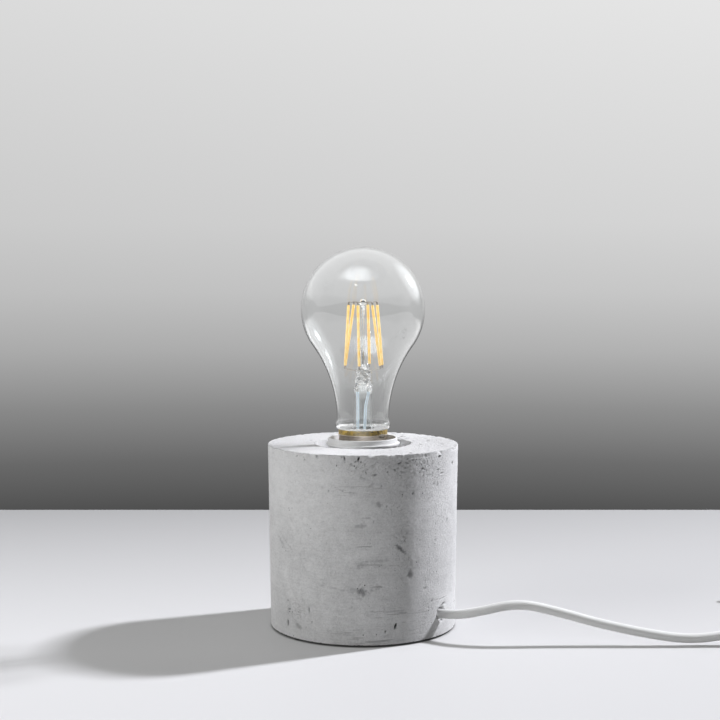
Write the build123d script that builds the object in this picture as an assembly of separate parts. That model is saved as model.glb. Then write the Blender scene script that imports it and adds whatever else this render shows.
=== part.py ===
from build123d import *
import math
import os

# Concrete desk lamp with a clear filament bulb. Millimetres, +Z up.
# The origin is on the table, under the axis of the lamp.

# Concrete casting
body_height = 98.8
body_bottom_radius = 50.55
body_top_radius = 51.85
edge_rounding = 0.9
recess_radius = 26.0
web_thickness = 13.0
cavity_radius = 32.0
foot_ring_width = 9.55
rebate_depth = 2.8

# Foot pads under the casting's rim
pad_count = 4
pad_radius = 4.0
pad_thickness = 1.2
pad_phase = 45.0

# Cover of the base cavity, its screws and their plugs
cover_thickness = 2.0
cover_clearance = 0.4
cover_screw_count = 3
cover_screw_phase = 25.0
cover_screw_radius = 1.5
cover_screw_head_radius = 2.9
cover_screw_head_height = 1.4
cover_screw_length = 11.0
screw_plug_radius = 2.5
screw_plug_length = 12.0
screw_clearance = 0.05

# Mains flex and the hole that it leaves by
cord_radius = 2.5
core_radius = 1.0
core_offset = 1.25
cord_hole_clearance = 0.8
cord_hole_height = 12.6
cord_hole_azimuth = -35.6
sheath_end = 12.0
lead_start = 47.0

# Cord grip on the cover
grip_length = 10.0
grip_width = 22.0
grip_inner_end = 17.0
grip_saddle_height = 4.4
grip_gap = 0.3
grip_screw_spacing = 14.4
grip_screw_radius = 1.3
grip_screw_head_radius = 2.5
grip_screw_head_height = 1.8
grip_screw_length = 11.0
grip_clearance = 0.05

# Threaded tube that clamps the lamp holder to the web
nipple_radius = 4.95
nipple_bore = 3.4
nipple_hole_clearance = 0.35
nipple_fit = 0.04
nipple_below_nut = 2.0
nipple_below_boss = 0.5
washer_radius = 12.0
washer_thickness = 1.5
nut_across_flats = 14.0
nut_height = 4.0

# Lamp holder
rim_proud = 3.0
skirt_height = 39.0
skirt_radius = 19.0
skirt_wall = 1.4
lip_width = 1.0
lip_height = 1.2
lip_below_rim = 2.6
rim_radius = 18.8
mouth_radius = 17.8
mouth_depth = 6.0
thread_clearance = 0.35
thread_wall = 1.6
thread_web = 1.8
dome_height = 16.0
dome_wall = 1.8
boss_radius = 9.0
boss_step = 3.4
boss_height = 8.5
boss_wall = 1.8
cone_height = 8.0
spigot_height = 6.0
spigot_clearance = 0.3
grub_radius = 1.3
grub_height = 2.0
insert_flange = 2.0
insert_rib_half_width = 4.0
insert_rib_half_length = 9.0
insert_rib_depth = 9.0
terminal_width = 7.0
terminal_depth = 7.0
terminal_height = 7.0
terminal_screw_radius = 1.2
terminal_screw_length = 4.5
terminal_head_radius = 2.2
terminal_head_height = 1.6
core_turn_drop = 4.0
core_bends = (5.0, 2.4, 1.9)
contact_thickness = 0.5
contact_width = 6.0
contact_bend = 1.2
contact_foot = 9.5
contact_knee = 4.5
contact_tongue = 4.0
side_contact_foot = 5.2
contact_gap = 0.3

# Screw cap of the bulb
cap_proud = 2.0
cap_length = 27.3
cap_radius = 13.1
cap_wall = 0.4
cap_nose_radius = 11.4
cap_nose_height = 2.4
cap_shell_lift = 4.3
cap_flare = 0.4
cap_flare_height = 1.2
tip_radius = 4.8
tip_thickness = 1.5
insulator_inside = 2.0

# Glass of the bulb
bulb_length = 128.9
globe_radius = 33.75
neck_radius = 14.3
neck_height = 8.0
glass_wall = 0.9
foot_depth = 3.0
cement_wall = 0.6
cement_height = 2.7
cement_overhang = 0.3
bead_bulge = 0.7
bead_height = 4.0

# Glass stem inside the bulb
stem_radius = 5.2
stem_wall = 0.9
flare_height = 13.0
tube_top_height = 26.0
pinch_base_height = 25.0
pinch_height = 37.0
pinch_base_width = 9.6
pinch_base_depth = 5.6
pinch_top_width = 5.0
pinch_top_depth = 3.8
pinch_rounding = 1.6
rod_radius = 1.1
rod_root = 1.0
rod_top_height = 71.5
bead_radius = 1.9

# Filaments and the wires that carry them
filament_count = 6
filament_phase = 15.0
filament_turns = (-7.0, -5.0, 20.0, 10.0, 4.0, 16.0)
filament_radius = 0.95
filament_top_drop = 1.5
filament_bottom_height = 37.4
filament_top_circle = 7.6
filament_bottom_circle = 10.6
support_radius = 0.35
tab_radius = 0.55
tab_length = 1.8
top_hub = 0.9
bottom_hub = 1.6
lead_radius = 0.35
sleeve_radius = 0.95
sleeve_bore = 0.4
sleeve_top_drop = 2.0
left_lead = -2.8
right_lead = 0.9
right_lead_start = 3.0
right_lead_bends = (21.0, 14.0)
lead_bend = 6.0

# Driver inside the cap
board_depth = 9.0
board_thickness = 1.2
board_clearance = 0.1
capacitor_radius = 3.5
capacitor_length = 8.0
capacitor_place = -4.5
rectifier_size = (6.0, 5.0, 2.2)
rectifier_place = 4.5
choke_radius = 2.0
choke_length = 5.0
choke_place = (2.5, -6.0)

# In-line rocker switch
switch_place = (236.0, -44.0)
switch_length = 64.0
switch_width = 25.0
switch_end_width = 15.0
switch_flat = 32.0
switch_parting = 7.5
switch_height = 15.0
switch_wall = 1.8
switch_corner = 5.0
switch_crown = 2.0
switch_cord_grip = 6.0
cord_notch_clearance = 0.1
rocker_length = 16.8
rocker_width = 10.4
rocker_valley = 2.6
rocker_rise = 1.2
rocker_shoulder = 2.0
rocker_nose = 7.0
rocker_nose_width = 4.0
rocker_tilt = 8.0
rocker_pivot_drop = 2.5
rocker_side_gap = 0.4
rocker_end_gap = 0.9
cheek_length = 8.0
cheek_thickness = 1.8
cheek_drop = 2.6
pin_radius = 1.0
pin_clearance = 0.05
post_place = (20.5, -6.5)
post_radius = 2.8
switch_screw_radius = 1.1
switch_screw_head_radius = 2.0
switch_screw_head_height = 1.5
switch_screw_length = 10.5
clamp_place = 19.0
clamp_length = 7.0
clamp_width = 6.0
clamp_side = 0.2
clamp_height = 4.8
blade_width = 5.0
blade_thickness = 0.5
blade_height = 4.5
blade_tip = 12.0
tongue_tip = 8.0
tongue_gap = 0.4
through_wire_side = -6.7
through_wire_run = 13.0
through_wire_start = 21.0
through_wire_bend = 4.0

# Flat two-pin plug
plug_width = 35.3
plug_thickness = 13.7
plug_block = 14.0
plug_length = 37.0
plug_rear_width = 11.0
plug_rear_thickness = 10.0
plug_rounding = 4.2
boot_length = 22.0
boot_rear_radius = 4.4
boot_end_radius = 3.3
pin_spacing = 18.6
plug_pin_radius = 2.0
plug_pin_core = 1.3
plug_pin_length = 19.0
plug_pin_sleeve = 10.0
plug_sleeve_radius = 1.7
plug_pin_rounding = 1.0

# Put-away coil and its tie
coil_centre = (322.0, 0.0)
coil_inner_radius = 21.5
coil_pitch = 5.5
coil_layer_pitch = 5.5
coil_half_turns = 7
coil_reversal_step = 1.0
coil_end = 5.0
tie_thickness = 0.8
tie_width = 8.0
tie_clearance = 1.1
tie_lift = 0.2
tie_rounding = 2.4

# How far cutting shapes reach past what they cut
cut_margin = 1.0

# Heights worked out from the sizes above
body_low = pad_thickness
body_top = body_low + body_height
cover_seat = body_low + rebate_depth
cover_low = cover_seat - cover_thickness
rim_top = body_top + rim_proud
seam = rim_top - skirt_height
dome_floor = seam - dome_height
web_low = dome_floor - web_thickness
nut_low = web_low - washer_thickness - nut_height
flange_low = seam + spigot_height
flange_top = flange_low + insert_flange
cap_top = rim_top + cap_proud
tip_low = cap_top - cap_length
shell_low = tip_low + cap_shell_lift
crown = tip_low + bulb_length
board_top = cap_top - board_depth
terminal_low = flange_low - terminal_height

# Radii that mating pieces share
rebate_radius = body_bottom_radius - foot_ring_width
cord_hole_radius = cord_radius + cord_hole_clearance
skirt_inner = skirt_radius - skirt_wall
spigot_radius = skirt_inner - spigot_clearance
thread_bore = cap_radius + thread_clearance
cap_inner = cap_radius - cap_wall
foot_radius = cap_inner - cement_wall
cord_axis = Rot(0, 0, cord_hole_azimuth)
holder_turn = Rot(0, 0, cord_hole_azimuth + 90)


def turned(*corners):
    """Solid of revolution about the lamp's axis, from (radius, height) corners."""
    outline = Polyline(*[(r, 0, z) for r, z in corners], close=True)
    return revolve(make_face(outline), Axis.Z)


def ring(outer, inner, low, high):
    """Plain ring about the lamp's axis."""
    return turned((inner, low), (outer, low), (outer, high), (inner, high))


def disc(radius, low, high):
    """Plain disc about the lamp's axis."""
    return turned((0, low), (radius, low), (radius, high), (0, high))


def post(radius, x, y, low, high):
    """Upright cylinder at a place."""
    return Pos(x, y, 0) * disc(radius, low, high)


def block(x_low, x_high, y_low, y_high, z_low, z_high):
    """Box from its two corners."""
    size = Box(x_high - x_low, y_high - y_low, z_high - z_low)
    return Pos((x_low + x_high) / 2, (y_low + y_high) / 2, (z_low + z_high) / 2) * size


def rod(start, end, radius):
    """Round bar between two points."""
    axis = Vector(end) - Vector(start)
    return extrude(Plane(start, z_dir=axis) * Circle(radius), axis.length)


def bent_wire(points, bends, radius, bore=0.0):
    """Round wire, or a sleeve with a bore, along bent straight runs."""
    path = FilletPolyline(*points, radius=bends)
    section = Circle(radius) - Circle(bore) if bore else Circle(radius)
    return sweep(Plane(path @ 0, z_dir=path % 0) * section, path)


def bent_strip(points, bend, width, thickness):
    """Sheet-metal strip bent along points in the XZ plane."""
    path = FilletPolyline(*[(x, 0, z) for x, z in points], radius=bend)
    start = Plane(path @ 0, x_dir=(0, 1, 0), z_dir=path % 0)
    return sweep(start * Rectangle(width, thickness), path)


def around(count, radius, phase):
    """Places evenly spaced on a circle, as angle in degrees, x and y."""
    for i in range(count):
        angle = phase + 360 * i / count
        turn = math.radians(angle)
        yield angle, radius * math.cos(turn), radius * math.sin(turn)


def polar(radius, angle, height):
    """Point at a radius, an angle in degrees and a height."""
    turn = math.radians(angle)
    return (radius * math.cos(turn), radius * math.sin(turn), height)


def group(solids):
    """Separate solids kept together in one node."""
    return Compound(children=[s if isinstance(s, Solid) else s.solid() for s in solids])


# Base


def concrete_body():
    """Casting with the holder recess, the web, the cable cavity and the cord hole."""
    bore = nipple_radius + nipple_hole_clearance
    body = turned(
        (rebate_radius, body_low),
        (body_bottom_radius, body_low),
        (body_top_radius, body_top),
        (recess_radius, body_top),
        (recess_radius, dome_floor),
        (bore, dome_floor),
        (bore, web_low),
        (cavity_radius, web_low),
        (cavity_radius, cover_seat),
        (rebate_radius, cover_seat),
    )
    levels = body.edges().group_by(Axis.Z)
    body = fillet(levels[0] + levels[-1], edge_rounding)
    middle = (cavity_radius + body_top_radius) / 2
    length = 2 * (body_top_radius - cavity_radius)
    hole = Pos(middle, 0, cord_hole_height) * Rot(0, 90, 0) * Cylinder(cord_hole_radius, length)
    body -= cord_axis * hole
    for _, x, y in around(cover_screw_count, cover_screw_circle(), cover_screw_phase):
        body -= post(screw_plug_radius, x, y, cover_seat, cover_seat + screw_plug_length)
    return body


def cover_screw_circle():
    """Radius on which the cover's screws sit, midway across its shoulder."""
    return (cavity_radius + rebate_radius) / 2


def foot_pads():
    """Round pads midway across the casting's standing rim."""
    circle = (rebate_radius + body_bottom_radius) / 2
    return group(
        post(pad_radius, x, y, 0, body_low)
        for _, x, y in around(pad_count, circle, pad_phase)
    )


def countersunk(x, y, clearance):
    """Countersunk screw of the cover at a place, or its hole with a clearance."""
    shank = cover_screw_radius + clearance
    head = cover_screw_head_radius + clearance
    low = cover_low
    return Pos(x, y, 0) * turned(
        (0, low),
        (head, low),
        (shank, low + cover_screw_head_height),
        (shank, low + cover_screw_length),
        (0, low + cover_screw_length),
    )


def screw_plugs():
    """Plastic plugs cast into the shoulder for the cover's screws."""
    high = cover_seat + screw_plug_length
    return group(
        post(screw_plug_radius, x, y, cover_seat, high) - countersunk(x, y, screw_clearance)
        for _, x, y in around(cover_screw_count, cover_screw_circle(), cover_screw_phase)
    )


def cover_screws():
    """Countersunk screws of the cover."""
    return group(
        countersunk(x, y, 0)
        for _, x, y in around(cover_screw_count, cover_screw_circle(), cover_screw_phase)
    )


def cord_along(inner, outer, clearance=0.0):
    """Straight length of flex along the cord hole, or its groove with a clearance."""
    start = (inner, 0, cord_hole_height)
    end = (outer, 0, cord_hole_height)
    return cord_axis * rod(start, end, cord_radius + clearance)


def grip_screw(side, clearance):
    """Grip screw on one side of the flex, head up, or its hole with a clearance."""
    seat = cord_hole_height + grip_gap + grip_saddle_height
    x = grip_inner_end + grip_length / 2
    y = side * grip_screw_spacing / 2
    shank = post(grip_screw_radius + clearance, x, y, seat - grip_screw_length, seat)
    if clearance:
        return cord_axis * shank
    head = post(grip_screw_head_radius, x, y, seat, seat + grip_screw_head_height)
    return cord_axis * (shank + head)


def grip_block(low, high):
    """Block across the flex, from one height to another, with the flex's groove."""
    outer_end = grip_inner_end + grip_length
    shape = block(grip_inner_end, outer_end, -grip_width / 2, grip_width / 2, low, high)
    body = cord_axis * shape - cord_along(grip_inner_end - cut_margin, outer_end + cut_margin, grip_clearance)
    for side in (-1, 1):
        body -= grip_screw(side, screw_clearance)
    return body


def base_cover():
    """Round cover in its rebate, with the bed of the cord grip moulded on it."""
    cover = disc(rebate_radius - cover_clearance, cover_low, cover_seat)
    for _, x, y in around(cover_screw_count, cover_screw_circle(), cover_screw_phase):
        cover -= countersunk(x, y, screw_clearance)
    return cover + grip_block(cover_seat, cord_hole_height)


def grip_saddle():
    """Saddle that holds the flex down on its bed."""
    low = cord_hole_height + grip_gap
    return grip_block(low, low + grip_saddle_height)


def grip_screws():
    """The two screws of the cord grip."""
    return group(grip_screw(side, 0) for side in (-1, 1))


def core(side):
    """Insulated core from the end of the sheath, up the nipple to its terminal."""
    turn = terminal_low - core_turn_drop
    reach = insert_rib_half_width + terminal_width / 2
    points = [
        (sheath_end, side * core_offset, cord_hole_height),
        (0, side * core_offset, cord_hole_height),
        (0, side * core_offset, turn),
        (0, side * reach, turn),
        (0, side * reach, terminal_low),
    ]
    return cord_axis * bent_wire(points, core_bends, core_radius)


# Lamp holder


def holder_nipple():
    """Hollow threaded tube through the web, shown with a plain outside."""
    high = dome_floor + boss_height - nipple_below_boss
    return ring(nipple_radius, nipple_bore, nut_low - nipple_below_nut, high)


def nipple_washer():
    """Broad washer under the web."""
    inner = nipple_radius + nipple_hole_clearance
    return ring(washer_radius, inner, web_low - washer_thickness, web_low)


def nipple_nut():
    """Hexagon nut that pulls the holder down on the web."""
    flats = RegularPolygon(nut_across_flats / 2, 6, major_radius=False)
    nut = Pos(0, 0, nut_low) * extrude(flats - Circle(nipple_radius + nipple_fit), nut_height)
    return nut


def dome_grub(clearance):
    """Locking screw in the dome's boss, or its hole with a clearance."""
    inner = nipple_radius + nipple_fit
    height = dome_floor + grub_height
    start = (inner, 0, height)
    end = (boss_radius + clearance, 0, height)
    return holder_turn * rod(start, end, grub_radius + clearance)


def holder_dome():
    """Lower cup of the holder, with its threaded boss and the skirt's spigot."""
    bore = nipple_radius + nipple_fit
    boss_top = dome_floor + boss_height
    cone_low = dome_floor + boss_step
    cone_high = cone_low + cone_height
    spigot_inner = spigot_radius - dome_wall
    dome = turned(
        (bore, dome_floor),
        (boss_radius, dome_floor),
        (boss_radius, cone_low),
        (skirt_radius, cone_high),
        (skirt_radius, seam),
        (spigot_radius, seam),
        (spigot_radius, flange_low),
        (spigot_inner, flange_low),
        (spigot_inner, cone_high),
        (bore + boss_wall, cone_low + boss_wall),
        (bore + boss_wall, boss_top),
        (bore, boss_top),
    )
    return dome - dome_grub(screw_clearance)


def holder_insert():
    """Contact carrier: a flange clamped on the spigot, and a rib between the terminals."""
    rib = block(
        -insert_rib_half_width,
        insert_rib_half_width,
        -insert_rib_half_length,
        insert_rib_half_length,
        flange_low - insert_rib_depth,
        flange_low,
    )
    return disc(spigot_radius, flange_low, flange_top) + holder_turn * rib


def terminal_screw(side, clearance):
    """Terminal screw on one side, or its hole with a clearance."""
    x = side * (insert_rib_half_width + terminal_width / 2)
    z = flange_low - terminal_height / 2
    face = -terminal_depth / 2
    shank = rod((x, face, z), (x, face + terminal_screw_length, z), terminal_screw_radius + clearance)
    if clearance:
        return shank
    return shank + rod((x, face - terminal_head_height, z), (x, face, z), terminal_head_radius)


def terminal_clamps():
    """Brass terminal blocks on both sides of the insert's rib."""
    clamps = []
    for side in (-1, 1):
        near = side * insert_rib_half_width
        far = side * (insert_rib_half_width + terminal_width)
        half = terminal_depth / 2
        body = block(min(near, far), max(near, far), -half, half, terminal_low, flange_low)
        clamps.append(holder_turn * (body - terminal_screw(side, screw_clearance)))
    return group(clamps)


def terminal_screws():
    """Screws of the two terminals."""
    return group(holder_turn * terminal_screw(side, 0) for side in (-1, 1))


def centre_contact():
    """Sprung strip that rises from the insert to the bulb's tip."""
    foot = flange_top + contact_thickness / 2
    top = tip_low - contact_gap - contact_thickness / 2
    points = [(-contact_foot, foot), (-contact_knee, foot), (-contact_knee / 3, top), (contact_tongue, top)]
    return holder_turn * bent_strip(points, contact_bend, contact_width, contact_thickness)


def side_contact():
    """Sprung strip that stands under the lower edge of the screw cap."""
    foot = flange_top + contact_thickness / 2
    upright = cap_nose_radius - cap_wall / 2
    points = [(side_contact_foot, foot), (upright, foot), (upright, shell_low - contact_gap)]
    return holder_turn * bent_strip(points, contact_bend, contact_width, contact_thickness)


def holder_skirt():
    """White outer shell with its rim, its lip and the thread tube, shown with a plain bore."""
    lip_high = rim_top - lip_below_rim
    lip_low = lip_high - lip_height
    mouth_floor = rim_top - mouth_depth
    thread_outer = thread_bore + thread_wall
    return turned(
        (skirt_radius, seam),
        (skirt_radius, lip_low - lip_width),
        (skirt_radius + lip_width, lip_low),
        (skirt_radius + lip_width, lip_high - lip_width / 2),
        (skirt_radius, lip_high),
        (rim_radius, rim_top),
        (mouth_radius, rim_top),
        (mouth_radius, mouth_floor),
        (thread_bore, mouth_floor),
        (thread_bore, flange_top),
        (thread_outer, flange_top),
        (thread_outer, mouth_floor - thread_web),
        (skirt_inner, mouth_floor - thread_web),
        (skirt_inner, seam),
    )


# Bulb


def envelope(inset):
    """Edges of the glass outline from the foot to the crown, moved in by an inset."""
    globe_centre = Vector(0, 0, crown - globe_radius)
    neck_low = cap_top + neck_height
    bead_low = cap_top + cement_height
    rise = globe_centre.Z - neck_low
    arc = (rise**2 + neck_radius**2 - globe_radius**2) / (2 * (globe_radius - neck_radius))
    to_neck = (Vector(neck_radius + arc, 0, neck_low) - globe_centre).normalized()
    foot = foot_radius - inset
    neck = neck_radius - inset
    globe = globe_radius - inset
    tangent = globe_centre + to_neck * globe
    bead_start = (neck, 0, bead_low + inset)
    bead_middle = (neck + bead_bulge, 0, bead_low + bead_height / 2)
    bead_end = (neck, 0, bead_low + bead_height - inset)
    return [
        Line((foot, 0, cap_top - foot_depth), (foot, 0, bead_low + inset)),
        Line((foot, 0, bead_low + inset), bead_start),
        ThreePointArc(bead_start, bead_middle, bead_end),
        Line(bead_end, (neck, 0, neck_low)),
        TangentArc((neck, 0, neck_low), tangent, tangent=(0, 0, 1)),
        ThreePointArc(tangent, (globe, 0, globe_centre.Z), (0, 0, crown - inset)),
    ]


def bulb_glass():
    """Thin glass envelope: foot, bead, neck and globe."""
    outer = envelope(0)
    inner = envelope(glass_wall)
    closing = [
        Line(outer[-1] @ 1, inner[-1] @ 1),
        Line(outer[0] @ 0, inner[0] @ 0),
    ]
    return revolve(make_face(outer + inner + closing), Axis.Z)


def bulb_cement():
    """Cement ring between the glass foot and the cap, with its golden collar."""
    low = cap_top - foot_depth
    high = cap_top + cement_height
    collar = cap_radius + cement_overhang
    return turned(
        (foot_radius, low),
        (cap_inner, low),
        (cap_inner, cap_top),
        (collar, cap_top),
        (collar, high),
        (foot_radius, high),
    )


def bulb_cap():
    """Drawn screw shell of the bulb, shown without its thread."""
    nose_high = shell_low + cap_nose_height
    flare_low = cap_top - cap_flare_height
    return turned(
        (cap_nose_radius, shell_low),
        (cap_radius, nose_high),
        (cap_radius, flare_low),
        (cap_radius + cap_flare, cap_top),
        (cap_inner, cap_top),
        (cap_inner, nose_high),
        (cap_nose_radius - cap_wall, shell_low),
    )


def cap_insulator():
    """Black glass between the screw shell and the centre contact."""
    inside = cap_nose_radius - cap_wall
    return turned(
        (0, tip_low + tip_thickness),
        (tip_radius, tip_low + tip_thickness),
        (cap_nose_radius, shell_low),
        (inside, shell_low),
        (inside, shell_low + insulator_inside),
        (0, shell_low + insulator_inside),
    )


def cap_contact():
    """Soldered centre contact, a little domed."""
    high = tip_low + tip_thickness
    return turned((0, tip_low), (tip_radius / 2, tip_low), (tip_radius, high), (0, high))


def filament_ends():
    """Lower and upper end of each filament, its foot turned a little round from its head."""
    ends = []
    for turn, (angle, _, _) in zip(filament_turns, around(filament_count, 1, filament_phase)):
        low = polar(filament_bottom_circle, angle + turn, cap_top + filament_bottom_height)
        high = polar(filament_top_circle, angle, cap_top + rod_top_height - filament_top_drop)
        ends.append((Vector(*low), Vector(*high)))
    return ends


def led_filaments():
    """Filament sticks on an uneven cone round the glass rod."""
    return group(rod(low, high, filament_radius) for low, high in filament_ends())


def supports(hub, hub_height, at_top):
    """Two wire frames, one to a side, that carry the filaments at one of their ends."""
    frames = []
    for side in (-1, 1):
        frame = None
        for low, high in filament_ends():
            if high.X * side < 0:
                continue
            axis = (high - low).normalized()
            end = high if at_top else low
            tip = end + axis * (tab_length if at_top else -tab_length)
            wire = rod(end, tip, tab_radius) + rod((side * hub, 0, hub_height), tip, support_radius)
            frame = wire if frame is None else frame + wire
        frames.append(frame)
    return frames


def top_frames():
    """Wire frames held in the bead on top of the glass rod."""
    return supports(top_hub, cap_top + rod_top_height, True)


def bottom_frames():
    """Wire frames held in the pinch of the stem."""
    return supports(bottom_hub, cap_top + (pinch_base_height + 3 * pinch_height) / 4, False)


def flare(inset, low):
    """Edges of the stem's trumpet, from its foot up to the top of its tube."""
    foot = foot_radius - glass_wall - inset
    tube = stem_radius - inset
    knee = (tube, 0, cap_top + flare_height)
    return [
        TangentArc(knee, (foot, 0, low), tangent=(0, 0, -1)),
        Line(knee, (tube, 0, cap_top + tube_top_height - inset)),
    ]


def bulb_stem():
    """Glass stem: trumpet and tube, flattened pinch, rod and bead."""
    low = cap_top - foot_depth
    outer = flare(0, low)
    inner = flare(stem_wall, low)
    tube_top = cap_top + tube_top_height
    closing = [
        Line(outer[0] @ 1, inner[0] @ 1),
        Line(outer[1] @ 1, (0, 0, tube_top)),
        Line((0, 0, tube_top), (0, 0, tube_top - stem_wall)),
        Line((0, 0, tube_top - stem_wall), inner[1] @ 1),
    ]
    stem = revolve(make_face(outer + inner + closing), Axis.Z)
    base = RectangleRounded(pinch_base_width, pinch_base_depth, pinch_rounding)
    top = RectangleRounded(pinch_top_width, pinch_top_depth, pinch_rounding)
    pinch_low = cap_top + pinch_base_height + stem_wall / 2
    pinch_high = cap_top + pinch_height
    stem += loft([Pos(0, 0, pinch_low) * base, Pos(0, 0, pinch_high) * top], ruled=True)
    rod_top = cap_top + rod_top_height
    stem += rod((0, 0, pinch_high - rod_root), (0, 0, rod_top), rod_radius)
    stem += Pos(0, 0, rod_top) * Sphere(bead_radius)
    for frame in top_frames() + bottom_frames():
        stem -= frame
    return stem


def lead_path(side):
    """Points of one lead, from the top of the stem's tube down to the driver board."""
    top = cap_top + tube_top_height - stem_wall
    if side < 0:
        return [(left_lead, 0, top), (left_lead, 0, board_top)]
    high, low = right_lead_bends
    return [
        (right_lead_start, 0, top),
        (right_lead_start, 0, cap_top + high),
        (right_lead, 0, cap_top + low),
        (right_lead, 0, board_top),
    ]


def lead(side, radius, bore, drop):
    """Lead wire on one side, or its sleeve, which starts lower by a drop."""
    (x, y, z), *rest = lead_path(side)
    points = [(x, y, z - drop), *rest]
    if len(points) == 2:
        start, end = points
        bar = rod(start, end, radius)
        return bar - rod(start, end, bore) if bore else bar
    return bent_wire(points, lead_bend, radius, bore)


def lead_wires():
    """The two leads from the pinch to the driver board."""
    return group(lead(side, lead_radius, 0, 0) for side in (-1, 1))


def lead_sleeves():
    """Insulating sleeves on the two leads."""
    return group(lead(side, sleeve_radius, sleeve_bore, sleeve_top_drop) for side in (-1, 1))


def driver_board():
    """Round circuit board across the screw shell."""
    return disc(cap_inner - board_clearance, board_top - board_thickness, board_top)


def driver_parts():
    """Capacitor, rectifier and choke under the board."""
    under = board_top - board_thickness
    length, width, height = rectifier_size
    return group(
        [
            post(capacitor_radius, capacitor_place, 0, under - capacitor_length, under),
            Pos(rectifier_place, width / 2, under - height / 2) * Box(length, width, height),
            post(choke_radius, *choke_place, under - choke_length, under),
        ]
    )


# Flex outside the lamp


def on_cord_axis(distance):
    """Point on the axis of the cord hole, at a distance from the lamp's axis."""
    turn = math.radians(cord_hole_azimuth)
    return (distance * math.cos(turn), distance * math.sin(turn), cord_hole_height)


def lead_route():
    """Free stretch from the hole, over its hump and down to the in-line switch."""
    x, y = switch_place
    entry = x - switch_length / 2 + switch_cord_grip
    return [
        on_cord_axis(lead_start),
        on_cord_axis(57.0),
        (59.0, -38.8, 15.6),
        (80.5, -40.0, 21.1),
        (101.0, -41.0, 16.7),
        (122.0, -43.0, 11.0),
        (146.0, -45.5, 6.4),
        (166.0, -46.4, 3.6),
        (182.0, -45.6, 4.4),
        (197.0, y, switch_parting),
        (entry, y, switch_parting),
    ]


def link_route():
    """Free stretch from the in-line switch down to the coil's first turn."""
    x, y = switch_place
    leaves = x + switch_length / 2 - switch_cord_grip
    end, _ = coil_ends()
    return [
        (leaves, y, switch_parting),
        (276.0, y, switch_parting),
        (300.0, end[1], end[2]),
        end,
    ]


def tail_route():
    """Free stretch from the coil's last turn to the plug's boot."""
    _, start = coil_ends()
    return [
        start,
        (309.0, start[1], start[2]),
        (300.0, start[1], plug_thickness / 2),
        (292.0, start[1], plug_thickness / 2),
    ]


def cord_tube(route, name):
    """Tube along straight runs joined by tangent arcs as large as the runs allow."""
    points = [Vector(*p) for p in route]
    radii = []
    for before, here, after in zip(points, points[1:], points[2:]):
        shorter = min((here - before).length, (after - here).length)
        turn = (here - before).get_angle(after - here)
        radii.append(0.45 * shorter / math.tan(math.radians(turn) / 2))
    path = FilletPolyline(*points, radius=radii)
    tube = sweep(Plane(path @ 0, z_dir=path % 0) * Circle(cord_radius), path)
    share = tube.volume / (math.pi * cord_radius**2 * path.length)
    print(name, "length", round(path.length, 1), "volume share", round(share, 4))
    print(name, "radii", [round(r, 1) for r in radii])
    return tube


def coil_stations():
    """Ends of the coil's half turns, as distance along Y from its centre, and height."""
    low = tie_thickness + tie_lift + cord_radius
    radii = [coil_inner_radius]
    for i in range(coil_half_turns):
        radii.append(coil_inner_radius + coil_reversal_step + (i + 1) * coil_pitch / 2)
    layers = [(r, low) for r in reversed(radii)] + [(r, low + coil_layer_pitch) for r in radii]
    return [(r if i % 2 else -r, z) for i, (r, z) in enumerate(layers)]


def coil_ends():
    """Where the coil's straight ends meet the link and the tail."""
    x, y = coil_centre
    stations = coil_stations()
    first, last = stations[0], stations[-1]
    return (x - coil_end, y + first[0], first[1]), (x - coil_end, y + last[0], last[1])


def coil_arcs():
    """Start, middle and end of each half turn, in order, as points."""
    x, y = coil_centre
    points = [Vector(x, y + across, z) for across, z in coil_stations()]
    arcs = []
    for i, (start, end) in enumerate(zip(points, points[1:])):
        centre = (start + end) * 0.5
        bulge = Vector((end - start).length / 2 * (1 if i % 2 == 0 else -1), 0, 0)
        arcs.append((start, centre + bulge, end))
    return arcs


def coil_self_gap(arcs, steps=24):
    """Least clear gap between turns of the coil, measured on points along it."""
    points = []
    for start, middle, end in arcs:
        centre = (start + end) * 0.5
        for i in range(steps):
            turn = math.pi * i / steps
            points.append(centre + (start - centre) * math.cos(turn) + (middle - centre) * math.sin(turn))
    skip = steps
    gaps = []
    for i, here in enumerate(points):
        gaps += [(there - here).length for there in points[i + skip:]]
    return min(gaps) - 2 * cord_radius


def cord_coil():
    """Put-away flex: a flat spiral in, a climb, and a flat spiral out, as one tube."""
    arcs = coil_arcs()
    first, last = (Vector(*p) for p in coil_ends())
    edges = [Line(first, arcs[0][0])]
    edges += [ThreePointArc(*arc) for arc in arcs]
    edges += [Line(arcs[-1][2], last)]
    path = Wire(edges)
    coil = sweep(Plane(path @ 0, z_dir=path % 0) * Circle(cord_radius), path)
    share = coil.volume / (math.pi * cord_radius**2 * path.length)
    print("cord_coil length", round(path.length, 1), "volume share", round(share, 4))
    print("cord_coil least self gap", round(coil_self_gap(arcs), 3))
    return coil


def cord_tie():
    """Flat band round the bundle of turns, on the coil's far side."""
    reach = [abs(middle.X - coil_centre[0]) for _, middle, _ in coil_arcs()[::2]]
    room = cord_radius + tie_clearance
    inner = min(reach) - room
    outer = max(reach) + room
    height = coil_stations()[-1][1] + cord_radius + tie_lift - tie_thickness
    hole = RectangleRounded(outer - inner, height, tie_rounding)
    rim = RectangleRounded(
        outer - inner + 2 * tie_thickness,
        height + 2 * tie_thickness,
        tie_rounding + tie_thickness,
    )
    band = extrude(Plane.XZ * (rim - hole), tie_width / 2, both=True)
    x, y = coil_centre
    return Pos(x + (inner + outer) / 2, y, height / 2 + tie_thickness) * band


# In-line switch


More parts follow.
